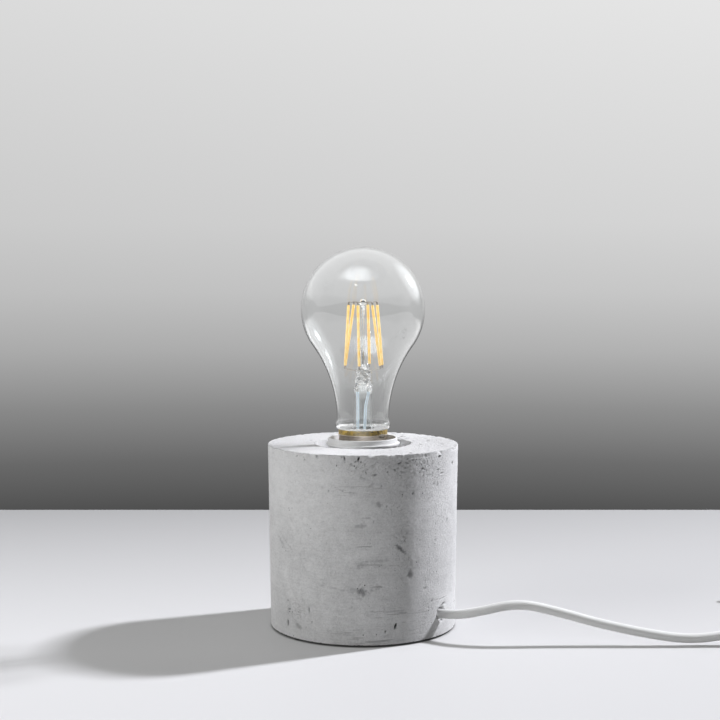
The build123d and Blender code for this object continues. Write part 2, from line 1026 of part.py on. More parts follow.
def switch_outline(inset):
    """Plan of the switch, moved in by an inset."""
    half = switch_length / 2 - inset
    end = switch_end_width / 2 - inset
    flat = switch_flat / 2
    side = switch_width / 2 - inset
    corners = [
        (half, -end), (half, end), (flat, side), (-flat, side),
        (-half, end), (-half, -end), (-flat, -side), (flat, -side),
    ]
    plan = make_face(Polyline(*corners, close=True))
    return fillet(plan.vertices(), switch_corner - inset)


def cord_notch():
    """Passage of the flex through both ends of the switch."""
    half = switch_length / 2 + cut_margin
    return rod((-half, 0, switch_parting), (half, 0, switch_parting), cord_radius + cord_notch_clearance)


def switch_screw(side, clearance):
    """Screw of the switch, head down, or its hole with a clearance."""
    x, y = post_place
    shank = switch_screw_radius + clearance
    head = switch_screw_head_radius + clearance
    return Pos(side * x, y, 0) * turned(
        (0, 0),
        (head, 0),
        (head, switch_screw_head_height),
        (shank, switch_screw_head_height),
        (shank, switch_screw_length),
        (0, switch_screw_length),
    )


def switch_posts(low, high):
    """Screw posts between two heights, with their holes still to cut."""
    x, y = post_place
    return [post(post_radius, side * x, y, low, high) for side in (-1, 1)]


def switch_base():
    """Lower half of the switch, with its posts and the seats of its terminals."""
    shell = extrude(switch_outline(0), switch_parting)
    shell = fillet(shell.edges().group_by(Axis.Z)[0], switch_crown / 2)
    shell -= Pos(0, 0, switch_wall) * extrude(switch_outline(switch_wall), switch_parting)
    for piece in switch_posts(switch_wall / 2, switch_parting):
        shell += piece
    for side, top in ((-1, blade_height), (1, tongue_low())):
        x = side * clamp_place
        shell += block(
            x - clamp_length / 2, x + clamp_length / 2,
            clamp_side, clamp_side + clamp_width,
            switch_wall / 2, top,
        )
    shell -= cord_notch()
    for side in (-1, 1):
        shell -= switch_screw(side, screw_clearance)
    return Pos(*switch_place, 0) * shell


def tongue_low():
    """Underside of the fixed contact tongue, below the sprung blade."""
    return blade_height - tongue_gap - blade_thickness


def rocker_pivot():
    """Height of the rocker's pin."""
    return switch_height - rocker_pivot_drop


def switch_cover():
    """Upper half of the switch, with the rocker's window and the cheeks of its pin."""
    depth = switch_height - switch_parting
    shell = Pos(0, 0, switch_parting) * extrude(switch_outline(0), depth)
    shell = fillet(shell.edges().group_by(Axis.Z)[-1], switch_crown)
    hollow = extrude(switch_outline(switch_wall), depth - switch_wall)
    shell -= Pos(0, 0, switch_parting) * hollow
    ceiling = switch_height - switch_wall / 2
    for piece in switch_posts(switch_parting, ceiling):
        shell += piece
    window = rocker_width / 2 + rocker_side_gap
    for side in (-1, 1):
        near = side * window
        far = side * (window + cheek_thickness)
        shell += block(
            -cheek_length / 2, cheek_length / 2,
            min(near, far), max(near, far),
            rocker_pivot() - cheek_drop, ceiling,
        )
    reach = rocker_length / 2 + rocker_end_gap
    shell -= block(-reach, reach, -window, window, switch_parting, switch_height + cut_margin)
    shell -= pin_bar(pin_clearance / 2)
    shell -= cord_notch()
    for side in (-1, 1):
        shell -= switch_screw(side, screw_clearance)
    return Pos(*switch_place, 0) * shell


def pin_bar(clearance):
    """Pin of the rocker, or its hole with a clearance."""
    half = rocker_width / 2 + rocker_side_gap + cheek_thickness
    height = rocker_pivot()
    return rod((0, -half, height), (0, half, height), pin_radius + clearance)


def rocker_pin():
    """Steel pin that the rocker tips on."""
    return Pos(*switch_place, 0) * pin_bar(0)


def switch_rocker():
    """Rocker with a hollowed top and a nose that works the blade, tipped to off."""
    half = rocker_length / 2
    nose = rocker_nose_width / 2
    side = Polyline(
        (-half, rocker_valley + rocker_rise),
        (0, rocker_valley),
        (half, rocker_valley + rocker_rise),
        (half, -rocker_shoulder / 2),
        (nose, -rocker_shoulder),
        (nose, -rocker_nose),
        (-nose, -rocker_nose),
        (-nose, -rocker_shoulder),
        (-half, -rocker_shoulder / 2),
        close=True,
    )
    body = extrude(Plane.XZ * make_face(side), rocker_width / 2, both=True)
    body -= Rot(90, 0, 0) * Cylinder(pin_radius + pin_clearance, rocker_width + cut_margin)
    x, y = switch_place
    return Pos(x, y, rocker_pivot()) * Rot(0, -rocker_tilt, 0) * body


def clamp_low(side):
    """Underside of a terminal of the switch, on the blade or on the tongue."""
    return (blade_height if side < 0 else tongue_low()) + blade_thickness


def switch_terminals():
    """Brass terminals on both sides of the rocker."""
    clamps = []
    for side in (-1, 1):
        x = side * clamp_place
        low = clamp_low(side)
        body = block(
            x - clamp_length / 2, x + clamp_length / 2,
            clamp_side, clamp_side + clamp_width,
            low, low + clamp_height,
        )
        clamps.append(Pos(*switch_place, 0) * body)
    return group(clamps)


def switch_blade():
    """Sprung blade on one terminal, and the fixed tongue on the other."""
    middle = clamp_side + clamp_width / 2
    far = clamp_place + clamp_length / 2
    low, high = middle - blade_width / 2, middle + blade_width / 2
    blade = block(-far, blade_tip, low, high, blade_height, blade_height + blade_thickness)
    tongue = block(tongue_tip, far, low, high, tongue_low(), tongue_low() + blade_thickness)
    return group(Pos(*switch_place, 0) * piece for piece in (blade, tongue))


def switch_wires():
    """Live cores into the terminals, and the neutral core that passes the rocker."""
    end = switch_length / 2 - switch_cord_grip
    near = clamp_place + clamp_length / 2
    z = switch_parting
    live = core_offset
    wires = [rod((side * end, live, z), (side * near, live, z), core_radius) for side in (-1, 1)]
    through = [
        (-end, -live, z),
        (-through_wire_start, -live, z),
        (-through_wire_run, through_wire_side, z),
        (through_wire_run, through_wire_side, z),
        (through_wire_start, -live, z),
        (end, -live, z),
    ]
    wires.append(bent_wire(through, through_wire_bend, core_radius))
    return group(Pos(*switch_place, 0) * wire for wire in wires)


def switch_screws():
    """The two screws of the switch."""
    return group(Pos(*switch_place, 0) * switch_screw(side, 0) for side in (-1, 1))


# Plug


def plug_face():
    """Place of the plug's front face: pins to -X, lying flat on the table."""
    end = tail_route()[-1]
    return Pos(end[0] - boot_length - plug_length, end[1], plug_thickness / 2)


def plug_section(x, width, thickness, rounding):
    """Rounded section of the plug at a distance from its front face."""
    return Plane((x, 0, 0), x_dir=(0, 1, 0), z_dir=(1, 0, 0)) * RectangleRounded(width, thickness, rounding)


def plug_body():
    """Moulded body: flat block, tapered shoulders and the cord's boot."""
    front = plug_section(0, plug_width, plug_thickness, plug_rounding)
    middle = plug_section(plug_block, plug_width, plug_thickness, plug_rounding)
    rear = plug_section(plug_length, plug_rear_width, plug_rear_thickness, plug_rounding)
    body = extrude(front, plug_block) + loft([middle, rear], ruled=True)
    boot = Cone(boot_rear_radius, boot_end_radius, boot_length)
    body += Pos(plug_length + boot_length / 2, 0, 0) * Rot(0, 90, 0) * boot
    for side in (-1, 1):
        y = side * pin_spacing / 2
        body -= rod((0, y, 0), (plug_block / 2, y, 0), plug_pin_core)
    return plug_face() * body


def plug_pins():
    """Round pins, thinner under their sleeves and rounded at their tips."""
    pins = []
    for side in (-1, 1):
        y = side * pin_spacing / 2
        tip = rod((-plug_pin_sleeve, y, 0), (-plug_pin_length, y, 0), plug_pin_radius)
        tip = fillet(tip.edges().group_by(Axis.X)[0], plug_pin_rounding)
        root = rod((-plug_pin_sleeve, y, 0), (plug_block / 2, y, 0), plug_pin_core)
        pins.append(plug_face() * (tip + root))
    return group(pins)


def pin_sleeves():
    """Insulating sleeves on the pins, next to the body."""
    sleeves = []
    for side in (-1, 1):
        y = side * pin_spacing / 2
        ends = ((-plug_pin_sleeve, y, 0), (0, y, 0))
        sleeves.append(plug_face() * (rod(*ends, plug_sleeve_radius) - rod(*ends, plug_pin_core)))
    return group(sleeves)


pieces = {
    "concrete_body": concrete_body(),
    "foot_pads": foot_pads(),
    "base_cover": base_cover(),
    "cover_screws": cover_screws(),
    "screw_plugs": screw_plugs(),
    "grip_saddle": grip_saddle(),
    "grip_screws": grip_screws(),
    "cord_inner": cord_along(sheath_end, lead_start),
    "core_live": core(1),
    "core_neutral": core(-1),
    "holder_nipple": holder_nipple(),
    "nipple_washer": nipple_washer(),
    "nipple_nut": nipple_nut(),
    "holder_dome": holder_dome(),
    "dome_grub_screw": dome_grub(0),
    "holder_insert": holder_insert(),
    "terminal_clamps": terminal_clamps(),
    "terminal_screws": terminal_screws(),
    "centre_contact": centre_contact(),
    "side_contact": side_contact(),
    "holder_skirt": holder_skirt(),
    "bulb_glass": bulb_glass(),
    "bulb_cement": bulb_cement(),
    "bulb_cap": bulb_cap(),
    "cap_insulator": cap_insulator(),
    "cap_contact": cap_contact(),
    "bulb_stem": bulb_stem(),
    "led_filaments": led_filaments(),
    "top_supports": group(top_frames()),
    "bottom_supports": group(bottom_frames()),
    "lead_wires": lead_wires(),
    "lead_sleeves": lead_sleeves(),
    "driver_board": driver_board(),
    "driver_parts": driver_parts(),
    "cord_lead": cord_tube(lead_route(), "cord_lead"),
    "cord_link": cord_tube(link_route(), "cord_link"),
    "cord_coil": cord_coil(),
    "cord_tail": cord_tube(tail_route(), "cord_tail"),
    "cord_tie": cord_tie(),
    "switch_base": switch_base(),
    "switch_cover": switch_cover(),
    "switch_rocker": switch_rocker(),
    "rocker_pin": rocker_pin(),
    "switch_terminals": switch_terminals(),
    "switch_blade": switch_blade(),
    "switch_wires": switch_wires(),
    "switch_screws": switch_screws(),
    "plug_body": plug_body(),
    "plug_pins": plug_pins(),
    "pin_sleeves": pin_sleeves(),
}

os.makedirs("parts", exist_ok=True)
for name, shape in pieces.items():
    export_step(shape, f"parts/{name}.step")
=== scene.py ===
"""Concrete desk lamp: the looks of its pieces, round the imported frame."""

import logging
import math
import random
from collections.abc import Callable, Iterable, Iterator
from dataclasses import dataclass
from enum import Enum
from typing import Any

import bmesh
import bpy
from mathutils import Matrix, Vector, kdtree, noise


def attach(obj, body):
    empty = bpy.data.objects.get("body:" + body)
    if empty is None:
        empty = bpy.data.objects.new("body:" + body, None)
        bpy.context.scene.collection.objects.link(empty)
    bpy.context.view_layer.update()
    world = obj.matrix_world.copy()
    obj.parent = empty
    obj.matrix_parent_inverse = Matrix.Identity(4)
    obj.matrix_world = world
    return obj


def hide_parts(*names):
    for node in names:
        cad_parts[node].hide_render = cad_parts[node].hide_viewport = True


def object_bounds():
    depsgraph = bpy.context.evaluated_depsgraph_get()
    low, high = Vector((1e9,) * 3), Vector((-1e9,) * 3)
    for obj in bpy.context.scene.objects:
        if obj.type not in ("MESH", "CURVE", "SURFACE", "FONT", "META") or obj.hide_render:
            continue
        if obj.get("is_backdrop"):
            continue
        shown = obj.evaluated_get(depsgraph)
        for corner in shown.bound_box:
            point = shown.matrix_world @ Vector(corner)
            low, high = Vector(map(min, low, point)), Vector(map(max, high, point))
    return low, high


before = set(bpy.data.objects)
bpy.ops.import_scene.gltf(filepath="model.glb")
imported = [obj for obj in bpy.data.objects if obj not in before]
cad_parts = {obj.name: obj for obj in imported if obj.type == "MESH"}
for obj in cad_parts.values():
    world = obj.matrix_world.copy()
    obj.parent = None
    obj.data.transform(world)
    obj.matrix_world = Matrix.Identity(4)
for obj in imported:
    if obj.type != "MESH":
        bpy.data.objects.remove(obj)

LOG = logging.getLogger("desk_lamp")
MM = 0.001
SEED = 7
WELD_REACH = 1e-6
JOIN_MM = 1e-4
SHARP_EDGE = 32.0
ROUND_EDGE = 60.0
THREAD_PITCH = 3.629
CORD_AZIMUTH = -35.6
CORD_HEIGHT = 12.6

Colour = tuple[float, float, float]
Corner = tuple[float, float]
Point = tuple[float, float, float]


class Body(Enum):
    """Rigid bodies that the pieces ride on."""

    BASE = "base"
    BULB = "bulb"


class Fade(Enum):
    """How a share runs between two levels."""

    SMOOTH = "SMOOTHSTEP"
    EVEN = "LINEAR"


# Shader maths


class Value:
    """A shader socket that takes part in arithmetic."""

    def __init__(self, graph: "Graph", socket: bpy.types.NodeSocket) -> None:
        """Wraps a socket.

        Args:
            graph: Node graph that the socket belongs to.
            socket: Output socket of one of its nodes.
        """
        self.graph = graph
        self.socket = socket

    def _maths(self, operation: str, *operands: Any) -> "Value":
        """Adds one Math node and returns its value."""
        inputs = dict(enumerate(operands))
        return self.graph.add("ShaderNodeMath", {"operation": operation}, inputs)["Value"]

    def __add__(self, other: Any) -> "Value":
        """Sum with a value or a number."""
        return self._maths("ADD", self, other)

    __radd__ = __add__

    def __sub__(self, other: Any) -> "Value":
        """Difference from a value or a number."""
        return self._maths("SUBTRACT", self, other)

    def __rsub__(self, other: Any) -> "Value":
        """Difference of a number from this value."""
        return self._maths("SUBTRACT", other, self)

    def __mul__(self, other: Any) -> "Value":
        """Product with a value or a number."""
        return self._maths("MULTIPLY", self, other)

    __rmul__ = __mul__

    def __pow__(self, other: Any) -> "Value":
        """Power with a value or a number."""
        return self._maths("POWER", self, other)

    def least(self, other: Any) -> "Value":
        """Smaller of this value and another."""
        return self._maths("MINIMUM", self, other)

    def most(self, other: Any) -> "Value":
        """Larger of this value and another."""
        return self._maths("MAXIMUM", self, other)

    def between(self, low: float, high: float, fade: Fade = Fade.SMOOTH) -> "Value":
        """Share of the way from one level to another.

        Args:
            low: Level at which the share is 0.
            high: Level at which the share is 1.
            fade: How it runs between them.

        Returns:
            A value from 0 to 1.
        """
        settings = {"interpolation_type": fade.value}
        inputs = {"Value": self, "From Min": low, "From Max": high}
        return self.graph.add("ShaderNodeMapRange", settings, inputs)["Result"]


class Outputs:
    """Outputs of a node, by name."""

    def __init__(self, graph: "Graph", node: bpy.types.Node) -> None:
        """Keeps a node of a graph."""
        self.graph = graph
        self.node = node

    def __getitem__(self, name: str) -> Value:
        """Visible output of that name."""
        found = [s for s in self.node.outputs if s.name == name and s.enabled]
        return Value(self.graph, found[0])


class Graph:
    """Node graph of one material or of the world."""

    def __init__(self, tree: bpy.types.NodeTree) -> None:
        """Empties a node tree and keeps it."""
        tree.nodes.clear()
        self.tree = tree

    def add(self, kind: str, settings: dict[str, Any] | None = None,
            inputs: dict[str | int, Any] | None = None) -> Outputs:
        """Adds a node.

        Args:
            kind: Node type.
            settings: Properties set first. A ramp takes its stops as (place, colour) pairs.
            inputs: Sockets by name or number, each with a number, a colour or a Value.

        Returns:
            The node's outputs.
        """
        node = self.tree.nodes.new(kind)
        for name, value in (settings or {}).items():
            if name == "stops":
                self._set_stops(node.color_ramp, value)
            else:
                setattr(node, name, value)
        for name, value in (inputs or {}).items():
            self._feed(self._input(node, name), value)
        return Outputs(self, node)

    @staticmethod
    def _set_stops(ramp: bpy.types.ColorRamp, stops: list[tuple[float, Colour]]) -> None:
        """Gives a ramp its stops.

        Args:
            ramp: Ramp of a node.
            stops: Places from 0 to 1, each with its colour.
        """
        while len(ramp.elements) < len(stops):
            ramp.elements.new(1.0)
        for element, (place, colour) in zip(ramp.elements, stops):
            element.position = place
            element.color = (*colour, 1.0)

    @staticmethod
    def _input(node: bpy.types.Node, name: str | int) -> bpy.types.NodeSocket:
        """Input of a node, by number, or the visible one of a name.

        Args:
            node: The node.
            name: Number or name of the input.

        Returns:
            The input socket.
        """
        if isinstance(name, int):
            return node.inputs[name]
        return [s for s in node.inputs if s.name == name and s.enabled][0]

    def _feed(self, socket: bpy.types.NodeSocket, value: Any) -> None:
        """Links a Value to a socket, or sets a constant on it.

        Args:
            socket: Input socket of a node.
            value: Number, colour or Value.
        """
        if isinstance(value, Value):
            self.tree.links.new(value.socket, socket)
        elif isinstance(value, tuple) and len(socket.default_value) == 4:
            socket.default_value = (*value, 1.0)
        else:
            socket.default_value = value

    def vectors(self, operation: str, *operands: Any, output: str = "Vector") -> Value:
        """Adds one Vector Math node and returns one of its outputs."""
        return self.add("ShaderNodeVectorMath", {"operation": operation}, dict(enumerate(operands)))[output]

    def axis(self, letter: str, vector: Value | None = None) -> Value:
        """One part of a vector, or of the place in millimetres."""
        whole = self.place() if vector is None else vector
        return self.add("ShaderNodeSeparateXYZ", None, {"Vector": whole})[letter]

    def blend(self, share: Value, first: Value, second: Value) -> Value:
        """Mixes two shaders by the second one's share."""
        return self.add("ShaderNodeMixShader", None, {0: share, 1: first, 2: second})["Shader"]

    def place(self, scale: Point = (1.0, 1.0, 1.0)) -> Value:
        """Object coordinates in millimetres, stretched by a scale along each axis."""
        where = self.add("ShaderNodeTexCoord")["Object"]
        return self.vectors("MULTIPLY", where, tuple(s / MM for s in scale))

    def noise(self, per_mm: float, detail: float = 3.0, roughness: float = 0.5,
              stretch: Point = (1.0, 1.0, 1.0), distortion: float = 0.0) -> Value:
        """Noise from 0 to 1.

        Args:
            per_mm: Features per millimetre.
            detail: Octaves.
            roughness: Share that each finer octave keeps.
            stretch: Scale along each axis.
            distortion: How far the pattern is warped.

        Returns:
            The noise's value.
        """
        inputs = {
            "Vector": self.place(stretch), "Scale": per_mm, "Detail": detail,
            "Roughness": roughness, "Distortion": distortion,
        }
        return self.add("ShaderNodeTexNoise", None, inputs)["Fac"]

    def cells(self, per_mm: float) -> Value:
        """Distance to the nearest of a cloud of points, in cells."""
        inputs = {"Vector": self.place(), "Scale": per_mm}
        return self.add("ShaderNodeTexVoronoi", None, inputs)["Distance"]

    def attribute(self, name: str) -> Value:
        """Number stored on the mesh's points."""
        return self.add("ShaderNodeAttribute", {"attribute_name": name})["Fac"]

    def mix(self, share: Value, first: Any, second: Any) -> Value:
        """Mixes two colours.

        Args:
            share: Share of the second colour.
            first: Colour, or a Value.
            second: Colour, or a Value.

        Returns:
            The mixed colour.
        """
        settings = {"data_type": "RGBA"}
        return self.add("ShaderNodeMix", settings, {"Factor": share, "A": first, "B": second})["Result"]

    def bump(self, height: Value, depth_mm: float, normal: Value | None = None) -> Value:
        """Normal bent by a height from 0 to 1.

        Args:
            height: Height over the surface.
            depth_mm: Real depth of a height of 1.
            normal: Normal that is bent already.

        Returns:
            The bent normal.
        """
        inputs = {"Height": height, "Distance": depth_mm * MM, "Strength": 1.0}
        if normal is not None:
            inputs["Normal"] = normal
        return self.add("ShaderNodeBump", None, inputs)["Normal"]

    def surface(self, **inputs: Any) -> Value:
        """Principled surface.

        Args:
            inputs: Its sockets, in lower case with underscores.

        Returns:
            The shader.
        """
        named = {self._socket_name(name): value for name, value in inputs.items()}
        return self.add("ShaderNodeBsdfPrincipled", None, named)["BSDF"]

    @staticmethod
    def _socket_name(name: str) -> str:
        """Socket's name from an argument's name."""
        return name.replace("_", " ").title().replace("Ior", "IOR")

    def output(self, shader: Value, kind: str = "ShaderNodeOutputMaterial") -> None:
        """Ends the graph in a shader."""
        self.add(kind, None, {"Surface": shader})


# Finishes


class Finish:
    """What every finish shares: a name, and the material made once from its graph."""

    name: str

    def draw(self, graph: Graph) -> Value:
        """Draws the finish.

        Args:
            graph: Empty graph to draw in.

        Returns:
            The shader that the graph ends in.
        """
        raise NotImplementedError

    def material(self) -> bpy.types.Material:
        """Material of the finish, made on first use.

        Returns:
            The material.
        """
        name = f"{self.name}_finish"
        made = bpy.data.materials.get(name)
        if made is None:
            made = bpy.data.materials.new(name)
            made.use_nodes = True
            graph = Graph(made.node_tree)
            graph.output(self.draw(graph))
        return made


@dataclass(frozen=True)
class CastConcrete(Finish):
    """Raw cast concrete with cloudy tones, stains, blowholes with painted shade in them, scratches and fine
    grain.
    """

    name: str = "cast_concrete"
    pale: Colour = (0.82, 0.82, 0.82)
    grey: Colour = (0.65, 0.65, 0.65)
    stain: Colour = (0.20, 0.20, 0.21)
    # hollow is painted shade: the dark inside blowholes, pinholes and gaps.
    hollow: Colour = (0.045, 0.045, 0.045)
    dust: Colour = (0.93, 0.93, 0.925)
    # Painted shade for the top face, where the key light falls most steeply.
    top_shade: Colour = (0.63, 0.63, 0.63)

    def draw(self, graph: Graph) -> Value:
        """Draws clouds, stains, grain, crumbs, scratches, blowholes with painted shade in them, and painted
        shade on the top face.

        Args:
            graph: Empty graph to draw in.

        Returns:
            The shader that the graph ends in.
        """
        clouds = graph.noise(0.03, 4.0, 0.6, distortion=0.5)
        mottle = graph.noise(0.16, 5.0, 0.68)
        grain = graph.noise(0.9, 5.0, 0.8)
        lumps = graph.noise(0.42, 3.0, 0.6, distortion=0.8)
        brushed = graph.noise(0.9, 2.0, 0.6, (0.07, 0.07, 1.0))
        tone = (clouds * 0.4 + mottle * 0.4 + brushed * 0.2).between(0.34, 0.66)
        colour = graph.mix(tone, self.grey, self.pale)
        # Painted shade: the top face is toned down towards a darker grey.
        colour = graph.mix(graph.attribute("level") * 0.75, colour, self.top_shade)
        colour = graph.mix((grain - 0.5).most(0.0) * 1.6, colour, self.dust)
        colour = graph.mix((0.5 - grain).most(0.0) * 0.85, colour, self.stain)
        mark = graph.attribute("stain")
        smudge = (mark * (0.25 + mottle + grain * 0.6)).between(0.0, 1.0)
        colour = graph.mix(smudge * 0.68, colour, self.stain)
        scratch = brushed.between(0.66, 0.74) * clouds.between(0.45, 0.6)
        scratch = scratch.most(brushed.between(0.56, 0.64) * graph.attribute("scored"))
        colour = graph.mix(scratch * 0.5, colour, self.stain)
        colour = graph.mix((graph.attribute("worn") * (0.5 + grain * 0.6)).least(1.0), colour, self.dust)
        rough = graph.attribute("rough")
        pin = 1.0 - graph.cells(0.36).between(0.07, 0.15)
        pin = pin * (graph.noise(0.07, 2.0) + rough * 0.22).between(0.58, 0.68)
        gaps = graph.noise(0.7, 4.0, 0.65, distortion=0.7).between(0.63, 0.67) * rough.between(0.3, 0.9)
        # Painted shade inside the blowholes, pinholes and gaps.
        holes = graph.attribute("pit").most(pin * 0.85).most(gaps * 0.65)
        colour = graph.mix(holes * 0.95, colour, self.hollow)
        crumbs = graph.noise(1.0, 4.0, 0.72, distortion=0.8).between(0.52, 0.66)
        normal = graph.bump(lumps * 0.3 + grain * 0.7, 0.45)
        normal = graph.bump(crumbs * (0.3 + rough * 0.7), 0.3, normal)
        normal = graph.bump(1.0 - pin.most(gaps).most(scratch * 0.4), 0.5, normal)
        return graph.surface(base_color=colour, roughness=0.82 + grain * 0.14, specular_ior_level=0.25,
                             normal=normal)


@dataclass(frozen=True)
class MouldedPlastic(Finish):
    """Moulded plastic with a faint grain and handling marks."""

    name: str
    colour: Colour
    roughness: float = 0.32
    grain_mm: float = 0.02
    shade: float = 0.9
    # glow is the strength of a painted glow in the plastic's colour.
    glow: float = 0.0

    def draw(self, graph: Graph) -> Value:
        """Draws slow tone changes, a fine grain, a few duller patches and a painted glow in its colour.

        Args:
            graph: Empty graph to draw in.

        Returns:
            The shader that the graph ends in.
        """
        drift = graph.noise(0.05, 2.0)
        grain = graph.noise(3.5, 2.0)
        dark = tuple(c * self.shade for c in self.colour)
        colour = graph.mix(drift.between(0.35, 0.65), dark, self.colour)
        rubbed = graph.noise(0.22, 4.0, 0.6).between(0.5, 0.72)
        roughness = self.roughness + rubbed * 0.12 + grain * 0.05
        return graph.surface(base_color=colour, roughness=roughness, emission_color=colour,
                             emission_strength=self.glow, normal=graph.bump(grain, self.grain_mm))


@dataclass(frozen=True)
class ClearGlass(Finish):
    """Clear glass that lets lamps through."""

    name: str
    tint: Colour = (0.985, 0.99, 0.99)
    ior: float = 1.46
    ripple_mm: float = 0.012
    ripple_per_mm: float = 0.06
    let_through: float = 0.94
    milky: Corner | None = None

    def draw(self, graph: Graph) -> Value:
        """Draws glass with a faint ripple, milky between two heights, dimming lamps at each face.

        Args:
            graph: Empty graph to draw in.

        Returns:
            The shader that the graph ends in.
        """
        ripple = graph.noise(self.ripple_per_mm, 2.0)
        normal = graph.bump(ripple, self.ripple_mm)
        glass = graph.surface(base_color=self.tint, roughness=0.0, ior=self.ior,
                              transmission_weight=1.0, normal=normal)
        if self.milky:
            low, high = self.milky
            height = graph.axis("Z")
            share = height.between(low, low + 3.0) * (1.0 - height.between(high - 2.0, high))
            share = share * graph.noise(0.9, 3.0, 0.6).between(0.42, 0.58) * 0.7
            milk = graph.surface(base_color=(0.93, 0.93, 0.92), roughness=0.3, ior=self.ior,
                                 transmission_weight=0.4, normal=normal)
            glass = graph.blend(share, glass, milk)
        film = graph.add("ShaderNodeBsdfTransparent", None, {"Color": (self.let_through,) * 3})["BSDF"]
        lamp = graph.add("ShaderNodeLightPath")["Is Shadow Ray"]
        return graph.blend(lamp, glass, film)


@dataclass(frozen=True)
class Metal(Finish):
    """Bare or plated metal with fine scratches and a little tarnish."""

    name: str
    colour: Colour
    tarnish: Colour
    roughness: float = 0.24
    brushed: Point = (1.0, 1.0, 6.0)

    def draw(self, graph: Graph) -> Value:
        """Draws scratches and tarnish.

        Args:
            graph: Empty graph to draw in.

        Returns:
            The shader that the graph ends in.
        """
        cloud = graph.noise(0.25, 4.0, 0.6).between(0.45, 0.75)
        scratch = graph.noise(1.8, 3.0, 0.6, self.brushed)
        colour = graph.mix(cloud * 0.5, self.colour, self.tarnish)
        roughness = self.roughness + scratch * 0.12 + cloud * 0.1
        return graph.surface(base_color=colour, metallic=1.0, roughness=roughness,
                             normal=graph.bump(scratch, 0.012))


@dataclass(frozen=True)
class BakedCement(Finish):
    """Golden basing cement, blotched and scorched in places."""

    name: str = "baked_cement"
    gold: Colour = (0.52, 0.36, 0.08)
    brown: Colour = (0.24, 0.17, 0.05)
    dark: Colour = (0.03, 0.025, 0.02)
    thin: Colour = (0.62, 0.56, 0.42)
    frosted: Colour = (0.74, 0.74, 0.72)
    inside_mm: Corner = (12.45, 12.85)

    def draw(self, graph: Graph) -> Value:
        """Draws gold, brown and dark blotches, pale where it is thin in front, and frosted inside.

        Args:
            graph: Empty graph to draw in.

        Returns:
            The shader that the graph ends in.
        """
        blotch = graph.noise(0.32, 4.0, 0.7)
        colour = graph.mix(blotch.between(0.44, 0.58), self.gold, self.brown)
        across = graph.axis("X")
        bare = across.between(-6.5, -2.5) * (1.0 - across.between(1.5, 5.5))
        colour = graph.mix(bare * 0.5, colour, self.thin)
        glint = graph.noise(0.6, 2.0).between(0.62, 0.7)
        colour = graph.mix(glint * 0.7, colour, self.thin)
        burnt = across.between(1.0, 7.0)
        colour = graph.mix(burnt * 0.45, colour, self.brown)
        scorch = (graph.noise(0.9, 3.0, 0.6) + burnt * 0.1).between(0.62, 0.72)
        colour = graph.mix(scorch * 0.7, colour, self.dark)
        radius = graph.vectors("LENGTH", graph.place((1.0, 1.0, 0.0)), output="Value")
        outside = radius.between(*self.inside_mm)
        colour = graph.mix((1.0 - outside) * 0.85, colour, self.frosted)
        normal = graph.bump(blotch, 0.25)
        return graph.surface(base_color=colour, roughness=0.42 + blotch * 0.2, normal=normal)


@dataclass(frozen=True)
class PhosphorCoat(Finish):
    """Amber silicone with phosphor, a paler core showing through."""

    name: str = "phosphor_coat"
    amber: Colour = (0.96, 0.60, 0.15)
    pale: Colour = (1.0, 0.78, 0.38)
    # glow is the strength of a painted glow in the stick's colour.
    glow: float = 0.26

    def draw(self, graph: Graph) -> Value:
        """Draws beads along the stick, with a painted glow in their colour.

        Args:
            graph: Empty graph to draw in.

        Returns:
            The shader that the graph ends in.
        """
        beads = graph.noise(0.9, 2.0, 0.5, (1.0, 1.0, 0.35))
        colour = graph.mix(beads.between(0.25, 0.8), self.amber, self.pale)
        return graph.surface(base_color=colour, roughness=0.38 + beads * 0.1, emission_color=colour,
                             emission_strength=self.glow, normal=graph.bump(beads, 0.05))


@dataclass(frozen=True)
class Frost(Finish):
    """White frosting that thins out upwards."""

    name: str = "frosted_foot"
    white: Colour = (0.86, 0.86, 0.85)
    low: float = 107.8
    high: float = 109.5
    # glow is the strength of a painted glow that lightens the frost in shade.
    glow: float = 0.2
    patchy: float = 2.4
    most: float = 0.66

    def draw(self, graph: Graph) -> Value:
        """Draws patches of frost, closed below and open above, with a painted glow that lightens them in
        shade.

        Args:
            graph: Empty graph to draw in.

        Returns:
            The shader that the graph ends in.
        """
        height = graph.axis("Z")
        patches = graph.noise(0.7, 4.0, 0.7)
        cover = 1.0 - height.between(self.low, self.high) * 1.1 + (patches - 0.5) * self.patchy
        cover = cover.least(self.most).most(0.0)
        return graph.surface(base_color=self.white, roughness=0.5 + patches * 0.2, alpha=cover,
                             emission_color=self.white, emission_strength=self.glow,
                             normal=graph.bump(patches, 0.1))


@dataclass(frozen=True)
class FlexSheath(Finish):
    """Soft white sheath of the flex, a little uneven in tone and sheen."""

    name: str = "flex_sheath"
    white: Colour = (0.78, 0.78, 0.77)
    grey: Colour = (0.70, 0.70, 0.69)

    def draw(self, graph: Graph) -> Value:
        """Draws slow tone changes and a soft, uneven sheen.

        Args:
            graph: Empty graph to draw in.

        Returns:
            The shader that the graph ends in.
        """
        drift = graph.noise(0.04, 3.0)
        smear = graph.noise(0.6, 3.0, 0.6)
        colour = graph.mix(drift.between(0.4, 0.7) * 0.8, self.white, self.grey)
        return graph.surface(base_color=colour, roughness=0.36 + smear * 0.14, normal=graph.bump(smear, 0.02))


